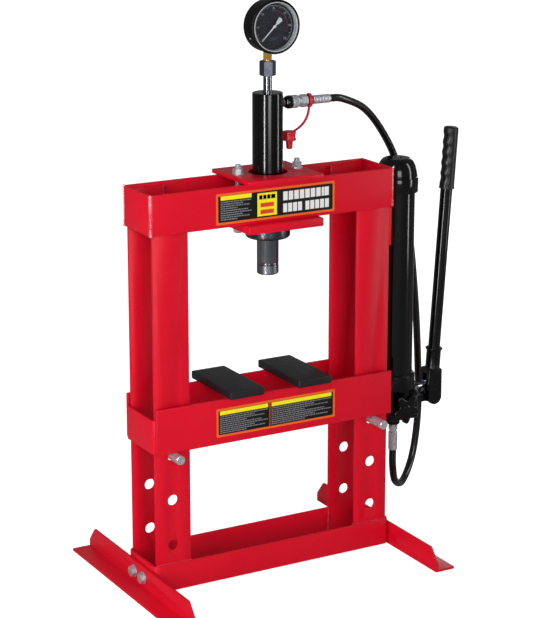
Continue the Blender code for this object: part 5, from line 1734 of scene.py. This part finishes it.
    def needle(self) -> None:
        """The white needle, its spade tail, hub and arbor."""
        outline = [(0.0368, 0.0), (0.0350, 0.0006), (0.0040, 0.0014), (-0.0055, 0.0012), (-0.0085, 0.0030),
                   (-0.0175, 0.0046), (-0.0192, 0.0020)]
        outline = outline + [(x, -y) for x, y in reversed(outline[1:])]
        bm = bmesh.new()
        place = self.ahead @ Matrix.Rotation(math.radians(self.start), 4, "Z")
        prism(bm, outline, self.needle_lift - 0.0003, self.needle_lift + 0.0003, place)
        hub = disc_profile(0.0027, self.needle_lift - 0.0004, self.needle_lift + 0.0014, 0.0005)
        lathe(bm, hub, place, 32)
        lathe(bm, disc_profile(0.0010, self.dial - 0.003, self.needle_lift, 0.0002), place, 16)
        finish_piece(piece("gauge_needle_blade", bm, ["needle_white_enamel"]), "needle", "pale_grey",
                     "gauge_needle")

    def glass(self) -> None:
        """The clear pane."""
        low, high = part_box("gauge_glass")
        near, far = -low.y, -high.y
        bm = bmesh.new()
        radius = self.bezel - 0.0010
        lathe(bm, [(0, near), (radius, near), (radius, far), (0, far)], self.ahead, 96)
        finish_piece(piece("gauge_glass_pane", bm, ["clear_gauge_glass"]), "frame", "glass", "gauge_glass")

    def fittings(self) -> None:
        """Adapter pipe, coupling nut and brass stem."""
        low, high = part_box("gauge_adapter")
        spot = placed(world(self.x, 0, 0))
        bm = bmesh.new()
        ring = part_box("cylinder_body")[1].z
        lathe(bm, [(0, low.z), (0.0082, low.z), (0.0082, ring), (0.0094, ring + 0.0004),
                   (0.0094, ring + 0.0030), (0.0080, ring + 0.0040), (0.0080, high.z), (0, high.z)], spot, 64)
        finish_piece(piece("gauge_adapter_pipe", bm, ["hard_chrome"], 30), "frame", "chrome", "gauge_adapter")
        low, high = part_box("gauge_nut")
        bm = bmesh.new()
        hex_nut(bm, 0.0258, high.z - low.z, placed(world(self.x, 0, low.z), spin=0.10))
        nut = piece("gauge_coupling_nut", bm, ["blackened_nut_steel"], 30)
        finish_piece(nut, "frame", "dark_steel", "gauge_nut")
        bottom = high.z
        case_bottom = self.z - self.body
        bm = bmesh.new()
        lathe(bm, disc_profile(0.0074, bottom - 0.004, bottom + 0.0022, 0.0003), spot, 48)
        hex_place = placed(world(self.x, 0, bottom + 0.0010), spin=0.42)
        hex_nut(bm, 0.0152, case_bottom - bottom - 0.0010, hex_place)
        lathe(bm, disc_profile(0.0062, bottom - 0.010, case_bottom + 0.012, 0.0003), spot, 48)
        path = []
        for i in range(49):
            a = math.radians(-90 + 255 * i / 48)
            path.append(self.centre + Vector((0.028 * math.cos(a), -0.002, 0.028 * math.sin(a))))
        tube(bm, path, oval(0.0016, 0.0040), Vector((0, 1, 0)))
        lathe(bm, disc_profile(0.0055, case_bottom + 0.010, self.z - 0.0255, 0.0004), spot, 32)
        finish_piece(piece("gauge_brass_stem", bm, ["turned_brass"], 30), "frame", "brass", "gauge_stem")


@dataclass
class Coupler:
    """The quick coupler, the dust cap and the hose's upper ferrule."""

    z: float = 0.8695
    teeth: int = 44
    cap_top: float = 0.8165
    loop_radius: float = 0.0118
    strap: Point2 = (0.0038, 0.0016)

    def build(self) -> None:
        """Build the coupler."""
        self.nipple()
        self.collar()
        self.sleeve()
        self.body()
        self.ferrule()
        self.dust_cap()

    def along(self, x: float = 0.0) -> Matrix:
        """Place a turned piece on the coupler's axis.

        Args:
            x: Shift along the axis.

        Returns:
            The placement.
        """
        return placed(Vector((x, 0, self.z)), Facing.RIGHT)

    def nipple(self) -> None:
        """The chrome nipple in the cylinder's side."""
        low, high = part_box("coupler_nipple")
        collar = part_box("coupler_ring")[0].x
        bm = bmesh.new()
        lathe(bm, disc_profile(0.0055, low.x, high.x, 0.0004), self.along(), 40)
        lathe(bm, disc_profile(0.0078, collar - 0.0064, collar - 0.0034, 0.0005), self.along(), 40)
        lathe(bm, disc_profile(0.0066, collar - 0.0034, collar - 0.0004, 0.0005), self.along(), 40)
        nipple = piece("coupler_chrome_nipple", bm, ["hard_chrome"], 30)
        finish_piece(nipple, "frame", "chrome", "coupler_nipple")

    def collar(self) -> None:
        """The rounded black collar."""
        low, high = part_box("coupler_ring")
        radius = (high.z - low.z) / 2
        section = [(0.0058, high.x), (radius, high.x), (radius, low.x + 0.0062),
                   (radius - 0.0016, low.x + 0.0026), (radius - 0.0042, low.x), (0.0058, low.x)]
        bm = bmesh.new()
        lathe(bm, rounded(section, 0.0024, 4), self.along(), 64)
        finish_piece(piece("coupler_black_collar", bm, ["gloss_black_enamel"], 40), "frame", "black_rubber",
                     "coupler_ring")

    def sleeve(self) -> None:
        """The knurled sleeve."""
        low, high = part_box("coupler_sleeve")
        radius = (high.z - low.z) / 2 - 0.0005
        section = [(0.0088, high.x), (radius, high.x), (radius, low.x), (0.0088, low.x)]
        bm = bmesh.new()
        lathe(bm, rounded(section, 0.0008, 3), self.along(), 64)
        core = piece("coupler_sleeve_core", bm, ["bright_zinc"], 40)
        finish_piece(core, "sleeve", "zinc", "coupler_sleeve")
        step = 2 * math.pi / self.teeth
        middle = (low.x + high.x) / 2
        for sign in (-1, 1):
            teeth = RING.run(f"coupler_knurl_{'a' if sign < 0 else 'b'}", path_mesh([Vector((0, 0, 0))]),
                             self.along(middle), Count=self.teeth, Radius=radius, Start=0.0, Step=step,
                             Bar=(0.0007, 0.0007, (high.x - low.x) * 0.72), Tip=sign * 0.35,
                             Finish=MATERIALS["bright_zinc"])
            finish_piece(teeth, "sleeve", "zinc")

    def body(self) -> None:
        """The groove, hexagon and hose nut."""
        low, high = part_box("coupler_body")
        sleeve_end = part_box("coupler_sleeve")[1].x
        hex_start = sleeve_end + 0.0055
        nut_start = hex_start + 0.0133
        bm = bmesh.new()
        lathe(bm, disc_profile(0.0084, low.x, hex_start + 0.002, 0.0003), self.along(), 48)
        hex_nut(bm, 0.0205, 0.0133, self.along(hex_start) @ Matrix.Rotation(0.26, 4, "Z"))
        hex_nut(bm, 0.0180, 0.0060, self.along(nut_start + 0.0002) @ Matrix.Rotation(0.55, 4, "Z"), 1)
        lathe(bm, rounded([(0, nut_start), (0.0088, nut_start), (0.0088, high.x - 0.002), (0.0072, high.x),
                           (0, high.x)], 0.0006, 2, False), self.along(), 48, 1)
        finish_piece(piece("coupler_core", bm, ["bright_zinc", "blackened_nut_steel"], 30), "frame", "zinc",
                     "coupler_body")

    def ferrule(self) -> None:
        """The crimped upper ferrule, with its rings."""
        low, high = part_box("hose_ferrule_upper")
        radius = (high.z - low.z) / 2
        points = [(0, low.x), (radius - 0.001, low.x), (radius, low.x + 0.001)]
        x = low.x + 0.0045
        while x < high.x - 0.006:
            points += [(radius, x), (radius - 0.0007, x + 0.0006),
                       (radius - 0.0007, x + 0.0016), (radius, x + 0.0022)]
            x += 0.0062
        points += [(radius, high.x - 0.0015), (radius - 0.0006, high.x), (0, high.x)]
        bm = bmesh.new()
        lathe(bm, points, self.along(), 48)
        ferrule = piece("hose_upper_ferrule", bm, ["bright_zinc"], 30)
        finish_piece(ferrule, "frame", "zinc", "hose_ferrule_upper")

    def dust_cap(self) -> None:
        """The red cap, its strap and the loop round the coupler."""
        low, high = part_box("dust_cap")
        cap_x = low.x + 0.0128
        bm = bmesh.new()
        top = self.cap_top
        section = [(0, top), (0.0105, top), (0.0124, top - 0.0012), (0.0124, top - 0.0040),
                   (0.0112, top - 0.0050), (0.0112, top - 0.0120), (0.0124, top - 0.0135),
                   (0.0118, top - 0.0172), (0.0066, top - 0.0178), (0.0058, top - 0.0300),
                   (0.0046, top - 0.0328), (0, top - 0.0329)]
        lathe(bm, rounded(section, 0.0007, 3, False), placed(Vector((cap_x, 0, 0))), 56)
        ring_x = high.x - 0.00325
        loop = []
        for i in range(49):
            across, up = math.sin(math.pi * 2 * i / 48), math.cos(math.pi * 2 * i / 48)
            y, z = self.loop_radius * across, self.z + self.loop_radius * up
            loop.append(Vector((ring_x + 0.0012 * across, y, z)))
        tube(bm, loop, oval(0.0030, 0.0013), Vector((1, 0, 0)))
        start = Vector((ring_x, 0, self.z - self.loop_radius))
        bend = Vector((ring_x - 0.0015, 0, self.z - 0.0420))
        end = Vector((cap_x + 0.0090, 0, top - 0.0012))
        shares = (i / 28 for i in range(29))
        path = [start * (1 - t) ** 2 + bend * 2 * t * (1 - t) + end * t * t for t in shares]
        tube(bm, path, oval(*self.strap), Vector((0, 1, 0)))
        cap = piece("coupler_dust_cap", bm, ["red_dust_cap_pvc"], 50)
        finish_piece(cap, "dust_cap", "red_plastic", "dust_cap")


@dataclass
class Hose:
    """The hydraulic hose and its lower ferrule."""

    radius: float = 0.0070
    lead: float = 0.008
    step: float = 0.007
    pump_x: float = 0.2920
    route: tuple[tuple[float, float, float], ...] = (
        (0.1790, 0.0025, 0.8640), (0.2270, 0.0160, 0.8420), (0.2740, 0.0340, 0.7990),
        (0.3190, 0.0510, 0.7360), (0.3490, 0.0620, 0.6560), (0.3690, 0.0665, 0.5600),
        (0.3805, 0.0685, 0.4760), (0.3885, 0.0690, 0.3920), (0.3945, 0.0700, 0.3010),
        (0.3980, 0.0720, 0.2300), (0.3950, 0.0740, 0.1640), (0.3790, 0.0670, 0.1100),
        (0.3430, 0.0430, 0.0800), (0.3080, 0.0150, 0.0980), (0.2940, 0.0022, 0.1350),
    )

    def build(self) -> None:
        """Build the hose and its lower ferrule."""
        start = Vector((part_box("hose_ferrule_upper")[1].x + 0.0003, 0, 0.8695))
        low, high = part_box("hose_ferrule_lower")
        end = world(self.pump_x, 0, low.z - 0.0003)
        points = self.centreline(start, end)
        curve = bpy.data.curves.new("hydraulic_hose", "CURVE")
        curve.dimensions = "3D"
        curve.bevel_depth = self.radius
        curve.bevel_resolution = 8
        curve.use_fill_caps = True
        spline = curve.splines.new("POLY")
        spline.points.add(len(points) - 1)
        for point, place in zip(spline.points, points):
            point.co = (*place, 1)
        spline.use_smooth = True
        curve.materials.append(MATERIALS["hose_rubber"])
        hose = bpy.data.objects.new("hydraulic_hose", curve)
        bpy.context.scene.collection.objects.link(hose)
        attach(hose, "frame")
        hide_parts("hose")
        self.ferrule(low, high)

    def centreline(self, start: Vector, end: Vector) -> list[Vector]:
        """Points on a smooth curve through the hose's route.

        Args:
            start: Where it leaves the upper ferrule.
            end: Where it enters the lower ferrule.

        Returns:
            Points about one step apart.
        """
        route = [start + Vector((self.lead, 0, 0)), *(world(*p) for p in self.route)]
        route.append(end - Vector((0, 0, self.lead)))
        first = route[1] - Vector((2 * (route[1] - route[0]).length, 0, 0))
        last = route[-2] + Vector((0, 0, 2 * (route[-1] - route[-2]).length))
        track = [first, *route, last]
        points = [start, route[0]]
        for a, b, c, d in zip(track, track[1:], track[2:], track[3:]):
            count = max(1, round((c - b).length / self.step))
            leave, arrive = (c - a) / 2, (d - b) / 2
            for i in range(1, count + 1):
                t = i / count
                points.append(b * (2 * t**3 - 3 * t**2 + 1) + leave * (t**3 - 2 * t**2 + t)
                              + c * (3 * t**2 - 2 * t**3) + arrive * (t**3 - t**2))
        return [*points, end]

    def ferrule(self, low: Vector, high: Vector) -> None:
        """The lower ferrule and its fitting.

        Args:
            low: The lowest corner of the ferrule's box.
            high: Its highest corner.
        """
        radius = (high.x - low.x) / 2
        points = [(0, high.z), (0.0058, high.z), (0.0058, high.z - 0.003), (0.0086, high.z - 0.0034),
                  (0.0086, high.z - 0.0110), (0.0070, high.z - 0.0124), (0.0070, high.z - 0.0150),
                  (radius - 0.0008, high.z - 0.0160), (radius, high.z - 0.0172)]
        z = high.z - 0.0200
        while z > low.z + 0.0060:
            points += [(radius, z), (radius - 0.0008, z - 0.0007),
                       (radius - 0.0008, z - 0.0017), (radius, z - 0.0024)]
            z -= 0.0066
        points += [(radius, low.z + 0.0016), (radius - 0.0008, low.z), (0, low.z)]
        bm = bmesh.new()
        lathe(bm, points, placed(world(self.pump_x, 0, 0)), 48)
        ferrule = piece("hose_lower_ferrule", bm, ["bright_zinc"], 30)
        finish_piece(ferrule, "frame", "zinc", "hose_ferrule_lower")


@dataclass
class Pump:
    """The hand pump: reservoir, cap, body, plunger and release knob."""

    x: float = 0.2920
    shoulder: float = 0.7100
    flat: float = 0.021
    relief_plug: tuple[float, float, float] = (0.3190, -0.030, 0.2880)
    drain_plug: tuple[float, float, float] = (0.3165, -0.030, 0.2500)
    knob_centre: tuple[float, float, float] = (0.2890, 0.0, 0.2665)
    lobes: int = 5
    lobe_height: float = 0.0063

    def build(self) -> None:
        """Build the pump."""
        self.reservoir()
        self.cap()
        self.body()
        self.plunger()
        self.knob()

    def reservoir(self) -> None:
        """The oil tube."""
        low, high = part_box("pump_reservoir")
        radius = (high.x - low.x) / 2
        section = [(radius - 0.003, high.z), (radius, high.z), (radius, low.z), (radius - 0.003, low.z)]
        bm = bmesh.new()
        lathe(bm, section, placed(world(self.x, 0, 0)), 96)
        oil_tube = piece("pump_oil_tube", bm, ["gloss_black_enamel"])
        finish_piece(oil_tube, "frame", "black_paint", "pump_reservoir")

    def cap(self) -> None:
        """The domed cap with its collar and filler plug."""
        low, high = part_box("pump_cap")
        radius = (high.x - low.x) / 2
        shoulder, flat = self.shoulder, self.flat
        dome = []
        for i in range(13):
            a = math.pi / 2 * i / 12
            reach = flat + (radius - 0.002 - flat) * math.sin(a)
            dome.append((reach, shoulder + (high.z - shoulder) * math.cos(a)))
        section = [(0, high.z - 0.0015), (0.0096, high.z - 0.0015), (0.0100, high.z)] + dome
        section += [(radius - 0.0004, shoulder - 0.0006), (radius, shoulder - 0.0016),
                    (radius, low.z + 0.0012), (radius - 0.0010, low.z), (0.0349, low.z), (0.0349, 0.7006),
                    (0.0315, 0.7006),
                    (0.0315, shoulder), (0.016, high.z - 0.008), (0, high.z - 0.008)]
        bm = bmesh.new()
        lathe(bm, section, placed(world(self.x, 0, 0)), 96)
        cap = piece("pump_dome_cap", bm, ["gloss_black_enamel"], 40)
        finish_piece(cap, "frame", "black_paint", "pump_cap")
        plug = bmesh.new()
        hex_nut(plug, 0.0120, 0.0014, placed(world(self.x, 0, high.z - 0.0014), spin=0.3))
        finish_piece(piece("pump_filler_plug", plug, ["blackened_nut_steel"], 30), "frame", "dark_steel")

    def body(self) -> None:
        """The pump's casting, with its relief-valve plug."""
        body = cad_skin("pump_body", "pump_casting", "cast_black_enamel", 0.0016, 3)
        finish_piece(body, "frame", "black_paint")
        bm = bmesh.new()
        relief, drain = world(*self.relief_plug), world(*self.drain_plug)
        hex_nut(bm, 0.0110, 0.0050, placed(relief, Facing.FRONT, 0.2))
        lathe(bm, disc_profile(0.0072, -0.001, 0.0012, 0.0004), placed(relief, Facing.FRONT), 32)
        hex_nut(bm, 0.0090, 0.0040, placed(drain, Facing.FRONT, 0.5))
        finish_piece(piece("pump_valve_plugs", bm, ["cast_black_enamel"], 30), "frame", "black_paint")

    def plunger(self) -> None:
        """The chrome plunger and its slotted tongue."""
        skin = cad_skin("pump_plunger", "pump_plunger_rod", "hard_chrome", 0.0006)
        finish_piece(skin, "plunger", "chrome")

    def knob(self) -> None:
        """The star knob and its stem."""
        low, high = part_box("release_knob")
        centre = world(*self.knob_centre)
        outline = []
        for i in range(100):
            a = 2 * math.pi * i / 100
            wave = math.cos(self.lobes * a)
            reach = 0.0232 + self.lobe_height * wave + 0.0004 * math.cos(2 * self.lobes * a)
            outline.append((reach * math.cos(a - math.pi / 2), reach * math.sin(a - math.pi / 2)))
        bm = bmesh.new()
        place = placed(centre, Facing.FRONT)
        prism(bm, outline, -low.y - 0.0136, -low.y - 0.0002, place)
        knob = piece("pump_release_knob", bm, ["cast_black_enamel"], 60)
        softened(knob, 0.0028, 4, 60.0)
        extra = bmesh.new()
        extra.from_mesh(knob.data)
        lathe(extra, disc_profile(0.0055, -high.y, -low.y - 0.008, 0.0004), place, 32)
        lathe(extra, [(0, -low.y - 0.004), (0.0078, -low.y - 0.0010), (0.0070, -low.y - 0.0001),
                      (0.0030, -low.y - 0.0001), (0.0026, -low.y - 0.0010), (0, -low.y - 0.0010)], place, 40)
        extra.to_mesh(knob.data)
        extra.free()
        knob.data.shade_smooth()
        knob.data.set_sharp_from_angle(angle=math.radians(50))
        finish_piece(knob, "release_valve", "black_paint", "release_knob")


@dataclass
class Lever:
    """The pump lever: casting, pins, tube and grip."""

    tilt: float = math.radians(3.9)
    axis_x: float = 0.3814
    axis_z: float = 0.324
    tube_radius: float = 0.0115
    tube_wall: float = 0.0025
    grip_radius: float = 0.0150
    grip_from: float = 0.3515
    grip_to: float = 0.470
    waves: int = 5

    def build(self) -> None:
        """Build the lever."""
        casting = cad_skin("lever_casting", "lever_head_casting", "cast_black_enamel", 0.0014, 3)
        finish_piece(casting, "lever", "black_paint")
        self.set_screw()
        self.pins()
        self.tube()
        self.grip()

    def on_axis(self, distance: float) -> Matrix:
        """Where a turned piece on the handle's axis goes.

        Args:
            distance: How far up the axis it starts.

        Returns:
            The placing matrix.
        """
        sin, cos = math.sin(self.tilt), math.cos(self.tilt)
        spot = world(self.axis_x + distance * sin, 0, self.axis_z + distance * cos)
        return placed(spot, tilt=self.tilt)

    def set_screw(self) -> None:
        """The screw that holds the tube in its socket."""
        bm = bmesh.new()
        spot = world(self.axis_x + 0.020 * math.sin(self.tilt), -0.0140, self.axis_z + 0.020)
        lathe(bm, [(0, -0.004), (0.0032, -0.004), (0.0032, 0.0020), (0.0024, 0.0026), (0.0013, 0.0026),
                   (0.0013, 0.0012), (0, 0.0012)], placed(spot, Facing.FRONT), 28)
        finish_piece(piece("lever_set_screw", bm, ["cast_black_enamel"], 30), "lever", "black_paint")

    def pins(self) -> None:
        """The pivot pin and the plunger pin."""
        pins = (("lever_pivot_pin", "lever_pivot", "frame"), ("plunger_pin", "lever_plunger_pin", "lever"))
        for node, name, body in pins:
            low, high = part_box(node)
            radius = (high.x - low.x) / 2
            spot = Vector(((low.x + high.x) / 2, high.y, (low.z + high.z) / 2))
            bm = bmesh.new()
            lathe(bm, disc_profile(radius, 0.0, high.y - low.y, 0.0008), placed(spot, Facing.FRONT), 48)
            finish_piece(piece(name, bm, ["cast_black_enamel"], 30), body, "black_paint", node)

    def tube(self) -> None:
        """The handle's tube."""
        bm = bmesh.new()
        length = self.grip_to - 0.0045
        r = self.tube_radius
        inner, bottom = r - self.tube_wall, 0.0043
        lathe(bm, [(inner, length), (r, length), (r, bottom), (inner, bottom)], self.on_axis(0.0), 64)
        handle = piece("lever_handle_tube", bm, ["gloss_black_enamel"])
        finish_piece(handle, "lever", "black_paint", "handle_tube")

    def grip(self) -> None:
        """The moulded grip: finger grooves on the pump side, a rounded end and a rim."""
        length = self.grip_to - self.grip_from
        steps, sides = 90, 64
        bm = bmesh.new()
        rings = []
        for i in range(steps + 1):
            t = i / steps
            ends = min(1.0, (1 - t) * length / 0.004)
            rim = 0.0006 if t < 0.03 else 0.0
            base = self.grip_radius - 0.0009 + rim - 0.0035 * (1 - math.sqrt(max(0.0, 1 - (1 - ends) ** 2)))
            ring = []
            for k in range(sides):
                a = 2 * math.pi * k / sides
                facing = max(0.0, math.cos(a - math.pi)) ** 1.5
                along = (t - 0.08) / 0.84
                groove = 0.0
                if 0 < along < 1:
                    groove = 0.0022 * (0.5 - 0.5 * math.cos(2 * math.pi * self.waves * along)) * facing
                radius = base - groove
                spot = Vector((radius * math.cos(a), radius * math.sin(a), t * length))
                ring.append(bm.verts.new(self.on_axis(self.grip_from) @ spot))
            rings.append(ring)
        for one, two in zip(rings, rings[1:]):
            for k in range(sides):
                j = (k + 1) % sides
                bm.faces.new((one[k], one[j], two[j], two[k]))
        bm.faces.new(rings[-1])
        foot, bore = self.on_axis(self.grip_from), self.tube_radius + 0.0003
        inner = [bm.verts.new(foot @ Vector((x, y, 0.0))) for x, y in oval(bore, bore, sides)]
        for k in range(sides):
            j = (k + 1) % sides
            bm.faces.new((inner[k], inner[j], rings[0][j], rings[0][k]))
        bm.faces.new(inner)
        grip = piece("lever_hand_grip", bm, ["grip_rubber"], 50)
        finish_piece(grip, "lever", "black_rubber", "handle_grip")


def main() -> None:
    """Build the whole scene."""
    logging.basicConfig(level=logging.INFO, format="%(message)s")
    Camera().build()
    Hose().build()
    Studio().build()
    PressFrame().build()
    Bed().build()
    Stickers().build()
    RamUnit().build()
    Gauge().build()
    Coupler().build()
    Pump().build()
    Lever().build()
    bpy.context.view_layer.update()


if __name__ == "__main__":
    main()
